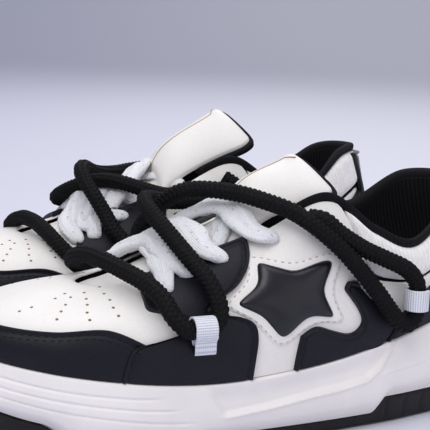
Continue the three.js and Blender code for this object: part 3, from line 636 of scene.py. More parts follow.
def tread(points):
    """The tread's height: wide grooves, away from both ends, with fine ones between them."""
    y = points[..., 1]
    along = y - 0.1 * LENGTH
    inside = step01((0.33 * LENGTH - np.abs(along)) / 2)
    groove = 2.4 * inside * bump(off_middle(along, GROOVE_PITCH), 1.3)
    return ground_at(y) + groove + 0.35 * bump(off_middle(y, RIB_PITCH), 0.5)


def outsole():
    """The rounded edge below, the sidewall with its slits, then down inside it to the tread's back."""
    foot, wall = WAIST - 1, 1.6
    rings = [
        sole_ring(foot - EDGE_IN * (1 - np.sin(a)), lambda y, top: ground_at(y) + EDGE_UP * (1 - np.cos(a)))
        for a in np.linspace(0, np.pi / 2, 6)
    ]
    cut = slits()
    for v in np.linspace(0, 1, 14)[1:]:
        depth = cut * step01(v / 0.15) * step01((1 - v) / 0.2)
        rounding = 0.8 * (1 - np.sqrt(1 - min(1, max(0, (v - 0.85) / 0.15)) ** 2))
        rings.append(sole_ring(
            foot + wall * v - depth - rounding,
            lambda y, top: ground_at(y) + EDGE_UP + (rim_at(y) - ground_at(y) - EDGE_UP) * v,
        ))
    rings.append(sole_ring(WAIST - RUBBER, lambda y, top: rim_at(y)))
    rings.append(sole_ring(WAIST - RUBBER, lambda y, top: ground_at(y) + TREAD))
    return stacked(rings, tread, 28, lambda p: ground_at(p[..., 1]) + TREAD, 8)


# heights along the sidewall, as [y, z]: the raised crease, a faint one at the heel, and the toe's grooves
CREASE = np.array([
    (-40, 17), (-18, 17.5), (3, 19.3), (25, 22.2), (42, 23.8), (56.5, 26.3), (64, 31), (72, 41.6), (78, 50),
])
HEEL_CREASE = np.array([(60, 27), (72, 30), (98, 33), (140, 38)])
GROOVES = [((-52, 29.5), (-122, 40.6)), ((-44, 23.6), (-122, 36.4)), ((-36, 17), (-122, 32.0))]
BELLY = [[-2.0], [0.9], [3.2], [4.0], [4.2], [4.1], [3.6], [3.0], [2.5], [2.0]]  # from the foot to the top


def sidewall_shape(v, y, z, top):
    """How far the midsole's side stands out: a soft belly, a crease with a hollow over it, fine grooves."""
    belly = curve(BELLY, v * (len(BELLY) - 1))[..., 0]
    line = np.interp(y, *CREASE.T)
    present = step01((y + 31 - 0.55 * (top - z)) / 6) * step01((80 - y) / 6)
    hollow = step01((z - line) / 2.6) * step01((top - z) / 12 + 0.2)
    shape = belly - 3.0 * present * hollow + 0.7 * present * bump(z - line, 0.8)
    line = np.interp(y, *HEEL_CREASE.T)
    below = step01((line - z) / 3) * step01((z - 16) / 4)
    shape = shape + 0.45 * step01((y - 60) / 10) * (bump(z - line, 0.9) + 0.6 * below)
    for (end_y, end_z), (start_y, start_z) in GROOVES:
        share = np.clip((end_y - y) / (end_y - start_y), 0, 2)
        line = end_z + (start_z - end_z) * share**1.35
        shape = shape - 0.75 * bump(z - line, 0.55) * step01((end_y + 4 - y) / 10)
    return shape


def midsole():
    """The foam cup: its side, a rounded lip, the ledge, the hollow's wall and the bed."""
    inner = WAIST - RUBBER - GAP
    s, out = station(AROUND), outward(AROUND)
    v = np.linspace(0, 1, 76)[:, None]
    foot = rim_at(s[:, 1] - 2) + 0.4
    top = s[:, 2] - GAP
    z = foot + (top - foot) * v
    lip = 1.3 * (1 - np.sqrt(1 - np.clip((v - 0.955) / 0.045, 0, 1) ** 2))
    stand = sidewall_shape(v, s[:, 1], z, top) - lip
    side = s[None, :, :3] * (1, 1, 0) + out[None] * stand[..., None]
    side[..., 2] = z
    rings = [
        sole_ring(inner, lambda y, top: ground_at(y) + TREAD + GAP),
        sole_ring(inner, lambda y, top: rim_at(y) + 0.5),
        *side,
        sole_ring(LEDGE - UPPER_SEAT, lambda y, top: top - GAP),
        sole_ring(LEDGE - UPPER_SEAT - 1, lambda y, top: bed_at(y)),
    ]
    return stacked(rings, lambda p: ground_at(p[..., 1]) + TREAD + GAP, 8, lambda p: bed_at(p[..., 1]), 12)


def bed_layer(clear, low, thick, dimple):
    """A flat layer on the bed with half-round edges and, for dimple over 0, a softly dimpled top."""
    edge = LEDGE - UPPER_SEAT - 1 - clear

    def under(points):
        return bed_at(points[..., 1]) + low

    def over(points):
        return under(points) + thick + dimple * np.sin(points[..., 0] / 3) * np.sin(points[..., 1] / 3)
    rings = [
        sole_ring(edge - thick / 2 * (1 - np.sin(a)),
                  lambda y, top: bed_at(y) + low + thick * (1 - np.cos(a)) / 2)
        for a in np.linspace(0, np.pi, 9)
    ]
    return stacked(rings, under, 10, over, 40)


# ------------------------------------------------------------------ panels of the upper
VAMP_SEAM = 6.0


def level(r, stations):
    """Points of an edge that stays at one r."""
    return [(t, r) for t in stations]


def mirrored(edges):
    """The same edges on the inner side of the shoe."""
    return [[(ROUND - t, r) for t, r in edge] for edge in edges]


def round_heel(edge):
    """An edge that runs on round the heel: its points and then their mirror images."""
    return [*edge, (0, edge[-1][1]), *[(-t, r) for t, r in reversed(edge)]]


VAMP_ROUND = np.linspace(VAMP_SEAM + 0.03, ROUND - VAMP_SEAM - 0.03, 9)
VAMP = [level(0, VAMP_ROUND), level(TRIM_R, VAMP_ROUND)]
QUARTER = [
    level(0, [0.03, 0.6, 1.1, 1.6, 2.1, 2.6, 3, 3.25, 3.5, 3.75, 4, 4.5, 5, 5.5, 5.97]),
    [*level(0.56, [0.03, 0.6, 1.1, 1.6]), (2.1, 0.57), (2.6, 0.575), (2.95, 0.585), (3.28, 0.71),
     (3.5, 0.84), *level(0.95, [3.75, 4, 4.5, 5, 5.5, 5.97])],
]
MUDGUARD = [
    level(0, [6.93, 7.6, 8.3, 9, 10, 11, 11.7, 12.4, 13.07]),
    [(6.8, 0.3), (7.5, 0.43), (8.2, 0.375), (9, 0.335), (10, 0.33), (11, 0.335), (11.8, 0.375),
     (12.5, 0.43), (13.2, 0.3)],
]
SIDE_PANEL = [
    [(7.09, 0), (7.07, 0.14), (6.98, 0.27), (6.6, 0.315), (6.25, 0.35), (6.22, 0.41), (6.42, 0.48),
     (6.72, 0.55), (6.93, 0.6), (7.04, 0.7), (7.12, 0.8), (7.2, 0.95)],
    [(4.87, 0), (4.86, 0.12), (4.88, 0.24), (4.99, 0.33), (5.25, 0.39), (5.6, 0.43), (5.8, 0.475),
     (5.7, 0.535), (5.45, 0.6), (5.31, 0.69), (5.26, 0.8), (5.27, 0.95)],
]
WING = [
    [(4.19, 0), (3.95, 0), (3.65, 0), (3.3, 0), (3, 0), (2.66, 0), (2.48, 0.2), (2.72, 0.32), (3.05, 0.42),
     (3.4, 0.53)],
    [(4.16, 0.2), (3.92, 0.24), (3.6, 0.205), (3.3, 0.17), (3.15, 0.195), (3.11, 0.26), (3.22, 0.34),
     (3.4, 0.41), (3.55, 0.46), (3.52, 0.51)],
]
COUNTER = [
    round_heel(level(0, [2.6, 2.1, 1.6, 1.1, 0.6])),
    [(2.42, 0.2), (2.1, 0.36), (1.65, 0.46), (1.1, 0.5), (0.6, 0.53), (0, 0.54), (-0.6, 0.53), (-1.1, 0.5),
     (-1.65, 0.46), (-2.1, 0.36), (-2.42, 0.2)],
]
COLLAR = [
    round_heel([(3.57, 0.88), (3.39, 0.77), (3, 0.62), (2.5, 0.6), *level(0.59, [2, 1.5, 1, 0.5])]),
    round_heel([(3.64, 0.94), *level(0.955, [3.46, 3.1, 2.5, 2, 1.5, 1, 0.5])]),
]
HEEL_STRIP = [[(t, r) for r in (0.02, 0.3, 0.55, 0.75, 0.93)] for t in (0.6, -0.6)]
CORNER = np.array([0, 0.12, 0.35, 0.7, 1.2, 2.0, 2.8, 3.6, 4.5])


def paces(length, step):
    """Distances along a panel, close together at both ends."""
    ends = CORNER * min(1, length / 14)
    count = max(int((length - 2 * ends[-1]) / step), 2)
    middle = np.linspace(ends[-1], length - ends[-1], count + 1)[1:-1]
    return np.concatenate([ends, middle, length - ends[::-1]])


def panel_lines(edges, step):
    """Matched points on the panel's two edges, evenly paced along it, with the length run and the widths."""
    u = np.linspace(0, len(edges[0]) - 1, 1200)
    a, b = curve(edges[0], u), curve(edges[1], u)
    run = lengths((face(*a.T) + face(*b.T)) / 2)
    at = paces(run[-1], step)
    a, b = points_at(at, run, a), points_at(at, run, b)
    return a, b, at, run[-1], np.linalg.norm(face(*a.T) - face(*b.T), axis=1)


def paced_shares(width, across):
    """Where a panel's columns lie, as shares of its width in each row: their paces stay in millimetres near
    both edges, closer where the panel is narrow, and spread evenly between."""
    widest = width.max()
    pace = paces(widest, across)
    near = CORNER.max() if widest > 9 else widest / 3
    low, high = pace <= near + 1e-9, pace >= widest - near - 1e-9
    middle = ~(low | high)
    scale = np.minimum(1, width[:, None] / (2.4 * near)) / width[:, None]
    shares = np.empty((len(width), len(pace)))
    shares[:, low] = pace[low] * scale
    shares[:, high] = 1 - (widest - pace[high]) * scale
    first, last = shares[:, low][:, -1:], shares[:, high][:, :1]
    shares[:, middle] = first + (last - first) * (pace[middle] - near) / (widest - 2 * near)
    return shares


def panel(edges, lifts, relief, cut="AB01", step=2.0, across=2.0, ribs=None):
    """A panel between two matched edges. Its height over the base is relief(distance to the border); cut
    names the borders, edges A and B and ends 0 and 1, that are cut and not seams under something."""
    a, b, at, length, width = panel_lines(edges, step)
    shares = paced_shares(width, across)
    tr = a[:, None] + (b - a)[:, None] * shares[..., None]
    run = np.broadcast_to(at[:, None], shares.shape)
    borders = {"A": shares * width[:, None], "B": (1 - shares) * width[:, None], "0": run, "1": length - run}
    distance = np.minimum.reduce([borders[side] for side in cut])
    height = relief(distance) * (lifts[1] - lifts[0])
    if ribs is not None:
        height = height + ribs(run, length, distance)
    shell = Shell()
    uv = np.stack([run, borders["A"]], -1) / 1000
    outer = shell.grid(skin(tr[..., 0], tr[..., 1], lifts[0] + height), uv)
    inner = shell.grid(skin(tr[..., 0], tr[..., 1], lifts[0]), uv)
    shell.rim(outer, inner)
    return shell


def cut_edge(distance):
    """A rounded cut edge, 0.9 mm wide."""
    return np.sqrt(1 - (1 - np.clip(distance / 0.9, 0, 1)) ** 2) * 0.999 + 0.001


def rolled_edge(distance):
    """A raised, rolled border with the stitch line pulled in beside it."""
    roll, pull = 0.45 * bump(distance - 1.1, 0.9), 0.33 * bump(distance - STITCH_IN, 0.7)
    return cut_edge(distance) * (1 + roll - pull)


def soft_edge(distance):
    """A padded layer that rises over 5 mm."""
    return 0.25 * cut_edge(distance) + 0.75 * np.sin(np.pi / 2 * np.clip(distance / 5, 0, 1)) ** 0.8


def ring_quads(index):
    """Quads between the rows of a grid of vertex numbers whose rows are rings."""
    after = np.roll(index, -1, 1)
    return np.stack([index[:-1], index[1:], after[1:], after[:-1]], -1).reshape(-1, 4)


def lids(*rings):
    """Quads straight across rings of vertex numbers."""
    return np.array([[ring[k], ring[k + 1], ring[-k - 2], ring[-k - 1]]
                     for ring in rings for k in range(len(ring) // 2 - 1)])


def bead_shape(length, width, height, around=8, rings=5):
    """A small rounded bead lying along x: half a wave of radius over its length."""
    s = np.linspace(0, 1, rings)[:, None]
    radius = np.sin(np.pi * np.clip(s, 0.04, 0.96)) ** 0.6
    angle = circle(around)
    points = np.stack([
        np.broadcast_to((s - 0.5) * length, (rings, around)),
        radius * np.cos(angle) * width / 2,
        radius * np.sin(angle) * height / 2,
    ], -1).reshape(-1, 3)
    index = np.arange(rings * around).reshape(rings, around)
    return points, np.concatenate([ring_quads(index), lids(index[0], index[-1])])


def stitch_row(shell, tr, lift, pitch=3.6, length=2.3, thick=0.55):
    """Stitches along a line of [t, r] on the upper, one every pitch."""
    line = skin(*tr.T, lift)
    run = lengths(line)
    at = np.arange(pitch / 2, run[-1], pitch)
    out = normal(*points_at(at, run, tr).T)
    along = unit(points_at(at + 0.5, run, line) - points_at(at - 0.5, run, line))
    across = unit(np.cross(out, along))
    frames = np.stack([along, across, np.cross(along, across)], 1)
    shell.beads(*bead_shape(length, thick * 1.25, thick), frames, points_at(at, run, line))


def inset(edges, border, distance):
    """The line of [t, r] at a distance inside border A or B of a panel."""
    a, b, _, _, width = panel_lines(edges, 1.0)
    share = (np.minimum(distance, 0.45 * width) / width)[:, None]
    return a + (b - a) * share if border == "A" else b + (a - b) * share


def stitches(rows, **sizes):
    """A shell of stitch rows: each is a line and a lift."""
    shell = Shell()
    for line, lift in rows:
        stitch_row(shell, line, lift, **sizes)
    return shell


def lining():
    """The knitted sleeve from the ledge to the collar."""
    t = np.linspace(0, ROUND, 321)[:-1]
    r = np.linspace(0, 0.965, 60)
    t_grid, r_grid = grids(t, r)
    r_grid = r_grid * (1 - 0.12 * step01((6 - np.abs(t_grid - ROUND / 2)) / 1.5))
    uv = np.stack(grids(np.interp(np.append(t, ROUND), PERIMETER, OUTLINE_RUN) / 1000, r * 0.07), -1)
    shell = Shell()
    outer, inner = (shell.grid(skin(t_grid, r_grid, LINING[k]), uv, wrap=(True, False)) for k in (1, 0))
    shell.hems(outer, inner)
    return shell


def binding():
    """The knitted binding: a full, soft section carried along the rim from crest to crest round the heel."""
    t = np.linspace(BINDING_END, -BINDING_END, 420)
    angle = circle(24)
    inner, outer = skin(t, TRIM_R, LINING[0] - 0.2), skin(t, TRIM_R, 0.55)
    middle, half = (inner + outer) / 2, np.linalg.norm(outer - inner, axis=1) / 2
    across = unit(outer - inner)
    end = np.minimum(1, np.sqrt(np.clip((BINDING_END - np.abs(t)) / 0.12, 0.02, 1)))[:, None]
    wide, tall = squarer(np.cos(angle), 0.7), squarer(np.sin(angle), 0.8)
    points = middle[:, None] + across[:, None] * (half[:, None] * end * wide)[..., None]
    points = points + UP * (1.9 + 2.6 * end * tall)[..., None]
    shell = Shell()
    uv = np.stack(grids(lengths(middle) / 1000, np.linspace(0, 0.018, 25)), -1)
    shell.caps(shell.grid(points, uv, wrap=(False, True)))
    return shell


def smooth_ring(corners, passes):
    """A closed outline through corners, rounded by averaging neighbours."""
    line = resample(np.vstack([corners, corners[:1]]), 301)[:-1]
    for _ in range(passes):
        line = (np.roll(line, 1, 0) + 2 * line + np.roll(line, -1, 0)) / 4
    return line


STAR_CENTRE = np.array([4.49, 0.43])
STAR_CORNERS = np.array([
    (5.14, 0.725), (4.48, 0.565), (3.86, 0.605), (3.98, 0.44), (3.63, 0.285),
    (4.13, 0.315), (4.45, 0.205), (4.88, 0.375), (5.40, 0.48), (5.05, 0.56),
])
IN_MM = np.array([27.0, 92.0])  # length of one station and of r from 0 to 1 near the star


def star_outline(grow, passes):
    """The star's outline, scaled about its centre and rounded by that many passes."""
    return smooth_ring((STAR_CORNERS - STAR_CENTRE) * IN_MM * grow, passes) / IN_MM + STAR_CENTRE


def disc(outline, base, height_of, medial, rings=28):
    """A padded shape: rings of its outline drawn in to its centre, with height_of(share) over the base."""
    share = np.sin(np.linspace(1, 0, rings) * np.pi / 2)
    tr = STAR_CENTRE + (outline[None] - STAR_CENTRE) * share[:, None, None]
    t = ROUND - tr[..., 0] if medial else tr[..., 0]
    shell = Shell()
    top, low = (shell.grid(skin(t, tr[..., 1], base + height), wrap=(False, True))
                for height in (height_of(share)[:, None], 0))
    shell.join(top[0], low[0], closed=True)
    return shell


def star(medial):
    """The star pad: steep rounded sides and a full crown."""
    def rise(share):
        return 0.05 + 3.5 * (1 - share**5) ** 0.5 + 0.35 * (1 - share**2)
    return disc(star_outline(1.05, 70), -0.4, rise, medial)


def star_border(medial):
    """The raised white border that the star sits in."""
    def rise(share):
        return 0.02 + np.clip((1 - share) / 0.1, 0, 1) ** 0.5
    return disc(star_outline(1.38, 130), -0.6, rise, medial, 34)


def star_dots(medial):
    """The row of small stitches round the star's border."""
    ring = star_outline(1.29, 130)
    dots = np.vstack([ring, ring[:1]])
    dots = dots * (-1, 1) + (ROUND, 0) if medial else dots
    return stitches([(dots, 0.42)], pitch=3.4, length=1.7, thick=0.5)


HOLE_ROWS = [
    ((8.26, 0.93), (7.96, 0.84), (7.75, 0.76), (7.6, 0.67), (7.43, 0.58)),
    ((8.62, 0.85), (8.34, 0.78), (8.16, 0.71), (8.01, 0.62), (7.87, 0.54)),
    ((9.08, 0.81), (8.79, 0.78), (8.63, 0.69), (8.52, 0.61), (8.41, 0.52)),
    ((9.04, 0.74), (9.09, 0.6), (9.13, 0.53)),
]


def at_holes(points, quads):
    """A small shape at each of the vamp's holes, on both sides."""
    tr = np.concatenate(HOLE_ROWS)
    tr = np.concatenate([tr, tr * (-1, 1) + (ROUND, 0)])
    out = normal(*tr.T)
    along = unit(np.cross(out, UP))
    shell = Shell()
    shell.beads(points, quads, np.stack([along, np.cross(out, along), out], 1), skin(*tr.T, LEATHER[1]))
    return shell


def dish(radii, heights, around=12):
    """Rings of the given radii and heights, and their vertex numbers."""
    angle = circle(around)
    points = np.concatenate([np.stack([r * np.cos(angle), r * np.sin(angle), np.full(around, h)], -1)
                             for r, h in zip(radii, heights)])
    return points, np.arange(len(points)).reshape(len(radii), around)


def hole_rims():
    """The tan rims that show round the punched holes."""
    points, index = dish([0.5, 0.74, 0.74, 0.5], [-0.5, -0.5, 0.05, 0.02])
    return at_holes(points, np.concatenate([ring_quads(index), ring_quads(index[[-1, 0]])]))


def hole_floors():
    """The dark floors of the holes."""
    points, index = dish([0.52, 0.52], [-0.4, 0.03])
    return at_holes(points, np.concatenate([ring_quads(index), lids(*index)]))


# ------------------------------------------------------------------ the tongue
CREST_Z = face(4, 1)[2] - 2.5
TONGUE_MIDDLE = 2.6  # depth of the tongue's middle layer under its outer face
STAND = {"left": 0.0, "right": 9.0}  # in millimetres, how much higher the tongue's free end stands


def tongue_rows(stand):
    """Rows of the tongue's outer face as [y, z, half width, fall, sweep], from under the vamp to the top;
    stand is how much higher its free end stands."""
    t = np.array([9.3, 8.6, 8, 7.4, 6.8, 6.2, 5.7, 5.3])
    half = throat_half(t) + 1.2 + 3.6 * step01((t - 5.9) / 1.2)
    centre, edge = bridge(t, 0 * t, -8.4), bridge(t, half, -8.4)
    lower = np.stack([centre[:, 1], centre[:, 2], half, centre[:, 2] - edge[:, 2], 0 * t], -1)
    lower[0] += (-4.5, -1.5, 1, 0, 0)
    upper = np.array([
        (3.5, CREST_Z - 9.5, 19, 5, 0), (10, CREST_Z - 1.5, 19.5, 7, 1), (17.5, CREST_Z + 3.5, 20, 8.5, 2.5),
        (24.5, CREST_Z + 8.0, 22, 9.5, 5), (30.5, CREST_Z + 12.5, 25, 11, 8), (35, CREST_Z + 17, 28, 12, 10),
    ])
    rows = np.vstack([lower, upper])
    share = step01((np.arange(len(rows)) - 7.5) / 5.5)
    rows[:, 1] += stand * share
    rows[:, 0] += 0.8 * stand * share
    return rows


def tongue_surface(rows, u, c, depth=0.0):
    """A point of the tongue: u counts rows, c runs -1 to 1 across, depth goes in from the outer face."""
    row = curve(rows, u)
    y, z, half, fall, sweep = (row[..., k] for k in range(5))
    lean = 0.62 * step01((u - 6.5) / 3)
    half = half * (1 - 0.3 * np.clip((u - len(rows) + 2.6) / 1.6, 0, 1) ** 2.5)
    point = np.stack([c * half, y + sweep * c**2, z - fall * c**2], -1)
    inward = np.stack([0 * lean, np.sin(lean), -np.cos(lean)], -1)
    return point + inward * np.asarray(depth)[..., None]


def tongue_puff(u, c):
    """How much the tongue's face swells: a low crown under the laces, a full one at its free end."""
    laced = (5.5 - step01(u / 4)) * (1 - step01((u - 6.5) / 2)) * (1 - c**6) ** 0.5
    free = 6.0 * step01((u - 6.5) / 2) * (1 - 0.75 * step01((u - 9.5) / 3.5))
    return laced + free * (1 - np.abs(c) ** 2.4) ** 0.8


def tongue_thick(c):
    """The tongue's thickness: thin at both edges and full between them."""
    return 2.0 + 3.4 * (1 - np.abs(c) ** 3) ** 0.5


def tongue(shoe):
    """The padded tongue: a full crown between its two thin edges, rounded over at the top."""
    rows = tongue_rows(STAND[shoe])
    turn, over = len(rows) - 1.8, 0.82  # where it starts to round over, and how far that goes
    rounded = turn + np.sin(np.linspace(0, 1, 26)[1:] * np.pi / 2) * over
    u = np.concatenate([np.linspace(0, turn, 100), rounded])
    u_grid, c_grid = grids(u, np.sin(np.linspace(-1, 1, 61) * np.pi / 2))
    full = np.sqrt(1 - np.clip((u_grid - turn) / over, 0, 1) ** 2)
    puff = tongue_puff(u_grid, c_grid)
    thick = tongue_thick(c_grid) * (0.12 + 0.88 * full)
    shell = Shell()
    outer = shell.grid(tongue_surface(rows, u_grid, c_grid, TONGUE_MIDDLE - thick / 2 - puff))
    inner = shell.grid(tongue_surface(rows, u_grid, c_grid * 0.995, TONGUE_MIDDLE + thick / 2 - puff * 0.35))
    shell.rim(outer, inner)
    return shell


def tongue_lining(shoe):
    """The lining behind the tongue's top, a little wider and higher, so that its edge shows."""
    rows = tongue_rows(STAND[shoe])
    u_grid, c_grid = grids(np.linspace(9.6, len(rows) - 0.9, 50), np.linspace(-1, 1, 61))
    deep = 5.1 - 0.35 * tongue_puff(u_grid, c_grid)
    uv = np.stack([c_grid * 0.028, u_grid * 0.008], -1)
    shell = Shell()
    outer, inner = (shell.grid(tongue_surface(rows, u_grid, c_grid * 1.03, deep + layer), uv)
                    for layer in (0, 1.5))
    shell.rim(outer, inner)
    return shell


def tongue_piping(shoe):
    """The knitted piping that shows all round the tongue's free edge."""
    rows = tongue_rows(STAND[shoe])
    side, top = np.linspace(9.8, len(rows) - 1.1, 60), np.linspace(-0.94, 0.94, 90)
    u = np.concatenate([side, 0 * top + len(rows) - 0.9, side[::-1]])
    c = np.concatenate([0 * side - 1.03, top, 0 * side + 1.03])
    line = tongue_surface(rows, u, c, 4.0 - 0.35 * tongue_puff(u, np.clip(c, -1, 1)))
    return tube(relaxed(resample(line, 260), 12), 1.5, 14)


def tongue_seam(shoe):
    """The raw tan edge of the seam down the tongue: a thin cord carried along its crown."""
    rows = tongue_rows(STAND[shoe])
    u = np.linspace(7.4, len(rows) - 1.35, 160)
    c = 0.3 * step01((u - len(rows) + 1.9) / 0.6) - 0.06
    depth = TONGUE_MIDDLE - tongue_thick(c) / 2 - tongue_puff(u, c) + 0.02
    return tube(tongue_surface(rows, u, c, depth), 0.36, 8)


def carried(line, start=UP):
    """Frames along a line, turned as little as possible: two unit vectors across it at each point."""
    along = unit(np.gradient(line, axis=0))
    side = np.empty_like(line)
    current = np.array(start, float)
    for i, tangent in enumerate(along):  # each frame follows from the one before
        current = current - tangent * (current @ tangent)
        current /= np.linalg.norm(current)
        side[i] = current
    return side, np.cross(along, side)


def tube(line, radius, around=24, start=UP):
    """A round tube along a line; radius may be a grid over length and angle."""
    side, other = carried(line, start)
    angle = circle(around)[:, None]
    radius = np.broadcast_to(radius, (len(line), around))[..., None]
    points = line[:, None] + radius * (side[:, None] * np.cos(angle) + other[:, None] * np.sin(angle))
    shell = Shell()
    shell.caps(shell.grid(points, wrap=(False, True)))
    return shell


# ------------------------------------------------------------------ laces
FRONT_OUTER = (54.6, -32.5, 61)
REAR_OUTER = (49.8, 80.5, 66)
FRONT_INNER = (-52.5, -32.5, 57)
REAR_INNER = (-46.3, 80.5, 66)
ROPE_START = [
    (36, 27, 106), (41, 33, 105), (44.5, 40, 99), (47, 51, 92), (48, 63, 86.5), (49, 74, 81),
    (49.8, 79.8, 74), REAR_OUTER, (49.8, 80.5, 59), (50, 77, 54), (50.5, 71.5, 55), (51, 65, 62),
    (51, 57, 72), (50, 49, 81.5), (48, 41, 90.5), (45.5, 33, 98),
]
FRONT_INNER_PASS = [
    (-51.5, -21.5, 64), (-52, -22.5, 58.5), (-52.5, -27, 57), FRONT_INNER, (-52.5, -38, 57),
    (-50, -47, 59.5),
]
FRONT_OUTER_PASS = [(54.6, -39.5, 61), FRONT_OUTER, (54.3, -27.5, 61.5), (52.6, -23.8, 66.3)]
LEFT_TOE = [
    (-45, -57, 65), (-36, -66, 72), (-25, -71, 77), (-12, -72.5, 82), (0, -70, 85), (12, -66, 84.5),
    (24, -60, 82), (35, -54, 79), (45, -49, 74), (51.8, -45.5, 66.5), *FRONT_OUTER_PASS, (49, -24, 73),
    (43, -27, 81),
]
ROPE_END = [
    (-44, 28, 96), (-45.5, 42, 88.5), (-46, 54, 78.5), (-46, 64, 67), (-46, 70.5, 57), (-46.1, 76, 53.5),
    (-46.3, 80.5, 58), REAR_INNER, (-46.3, 79.8, 74), (-45.5, 73, 81), (-44.5, 61, 89.5),
    (-44, 48, 95.5), (-42, 38, 101.5), (-38, 31, 106),
]
LEFT_FIRST = [
    (40.5, 25, 104.5), (33, 18, 109), (24, 8, 112.5), (14, -1, 114.5), (4, -12, 115), (-5, -21, 113),
    (-13, -28, 107), (-21, -33.5, 98), (-30, -35, 89), (-39, -32, 80.5), (-47, -26, 72),
]
LEFT_BACK = [
    (32, -32, 89), (20, -36, 96), (8, -39, 102), (-4, -40, 106), (-16, -37, 107.5), (-26, -30, 105.5),
    (-34, -18, 102.5), (-39, -4, 101), (-42, 12, 100),
]
RIGHT_FIRST = [
    (44, 24, 100), (42.5, 12, 99.5), (39, 1, 99), (34, -9, 98.5), (27, -19, 99.5), (19, -28, 102),
    (11, -34.5, 105.5), (3, -39, 107), (-6, -42, 105.5), (-15, -42, 101.5), (-24, -39.5, 95.2),
    (-31, -36.1, 87.4), (-39, -32.8, 79), (-46, -27, 71.5),
]
RIGHT_TOE = [
    (-44, -56, 65), (-36, -62.5, 71.5), (-25, -67, 77), (-12, -70, 79.7), (0, -72.5, 79.8), (11, -74.5, 77),
    (21, -75.5, 72.5), (31, -73, 67.5), (40, -66, 64), (48, -56, 61.5), (52.8, -47, 61), *FRONT_OUTER_PASS,
    (49, -25, 72.5), (42, -33, 79),
]
RIGHT_BACK = [
    (34, -43, 83), (26, -47.5, 86), (18, -46.5, 90), (9, -41.5, 95), (-2, -34.6, 99.5), (-12, -28.3, 101.5),
    (-22, -22.1, 101.5), (-31, -14, 99.5), (-38, -5, 97.5), (-42, 5, 97), (-43.5, 16, 97),
]
ROUTES = {
    "left": ROPE_START + LEFT_FIRST + FRONT_INNER_PASS + LEFT_TOE + LEFT_BACK + ROPE_END,
    "right": ROPE_START[:-1] + RIGHT_FIRST + FRONT_INNER_PASS + RIGHT_TOE + RIGHT_BACK + ROPE_END,
}


def rope(shoe):
    """The knitted rope: wales of chevron stitches round a round core. Each stitch is a raised wave along the
    rope, highest in the middle of its wale and half a stitch later in every other one."""
    step, around, wales, pitch, twist = 0.48, 48, 9, 2.5, 0.012
    route = np.array(ROUTES[shoe], float)
    fine = curve(route, np.linspace(0, len(route) - 1, 4000))
    line = resample(fine, int(lengths(fine)[-1] / step))
    run = lengths(line)[:, None]
    place = circle(around) * wales / (2 * np.pi) + run * twist
    off_wale = np.abs((place % 1) - 0.5)
    stitch = run / pitch + off_wale + (np.floor(place) % 2) * 0.5
    raised = (0.5 + 0.5 * np.cos(2 * np.pi * stitch)) ** 0.7 * (1 - (1.9 * off_wale) ** 2) ** 0.5
    return tube(line, ROPE_RADIUS - 0.8 + 0.95 * raised, around)


# each loop's centre on the rope, the rope's direction there, and [t, r] on the upper where it is sewn
LOOPS = {
    "loop_front_outer": (FRONT_OUTER, (0, 1, 0), (5.8, 0.2)),
    "loop_rear_outer": (REAR_OUTER, (0, 0, 1), (2.02, 0.3)),
    "loop_front_inner": (FRONT_INNER, (0, 1, 0), (14.06, 0.14)),
    "loop_rear_inner": (REAR_INNER, (0, 0, 1), (18.0, 0.27)),
}


def webbing_loop(centre, axis, sewn):
    """A webbing band folded round the rope: a drop-shaped section whose point is sewn to the upper."""
    centre, axis = np.array(centre, float), np.array(axis, float)
    foot = skin(np.array(sewn[0]), np.array(sewn[1]), 1.2)
    slant = (foot - centre) @ axis
    tail = foot - centre - axis * slant
    length = np.linalg.norm(tail)
    tail = tail / length
    side = np.cross(axis, tail)
    angle = np.linspace(-np.pi, np.pi, 73)[:-1]
    inner = ROPE_RADIUS + WEBBING_CLEAR
    reach = inner + (length - inner) * bump(angle, 0.5)
    squeeze = 1 - 0.2 * bump(np.abs(angle) - 0.6, 0.4)
    width = np.linspace(-0.5, 0.5, 25)
    uv = np.stack(grids(np.linspace(0, 0.036, 73), width * 0.0105), -1)
    shell = Shell()
    layers = []
    for lift in (WEBBING_THICK, 0.0):
        along, over = (reach + lift) * np.cos(angle), (inner + lift) * squeeze * np.sin(angle)
        lean = slant * np.clip(along / length, 0, 1)
        ring = tail * along[:, None] + side * over[:, None] + axis * lean[:, None]
        band = centre + ring[:, None] + axis * (width[None, :, None] * WEBBING_WIDTH)
        layers.append(shell.grid(band, uv, wrap=(True, False)))
    shell.hems(*layers)
    return shell


# [t, r] of the lace slots on the outer side, from the front; the inner side mirrors them
SLOTS = [(6.66, 0.70), (6.27, 0.77), (5.71, 0.80), (4.88, 0.815)]


def over_line(start, end, lift):
    """A strand's path from slot to slot, up over both brims of the throat and across its crown."""
    (t0, r0), (t1, r1) = start, end
    reach = ROUND - t1 - t0
    rise = np.clip(2.2 + 0.4 * lift, 0.6, None)
    return curve([
        skin(t0, r0, 0.2), skin(t0, r0 + 0.04, 2.0), skin(t0 + 0.25 * reach, 0.93, rise),
        bridge(t0 + reach / 2, 0.0, lift + 2.0),
        skin(t1 - 0.25 * reach, 0.93, rise), skin(t1, r1 + 0.04, 2.0), skin(t1, r1, 0.2),
    ], np.linspace(0, 6, 300))


def sunk_line(start, end, lift):
    """A strand's path low in the throat, from one edge of it to the other, sagging into both corners."""
    share = np.linspace(0, 1, 300)
    at = start[0] + (ROUND - end[0] - start[0]) * share
    return bridge(at, (throat_half(at) - 1) * (1 - 2 * share), lift - 3.5 * (1 - 2 * share) ** 2)


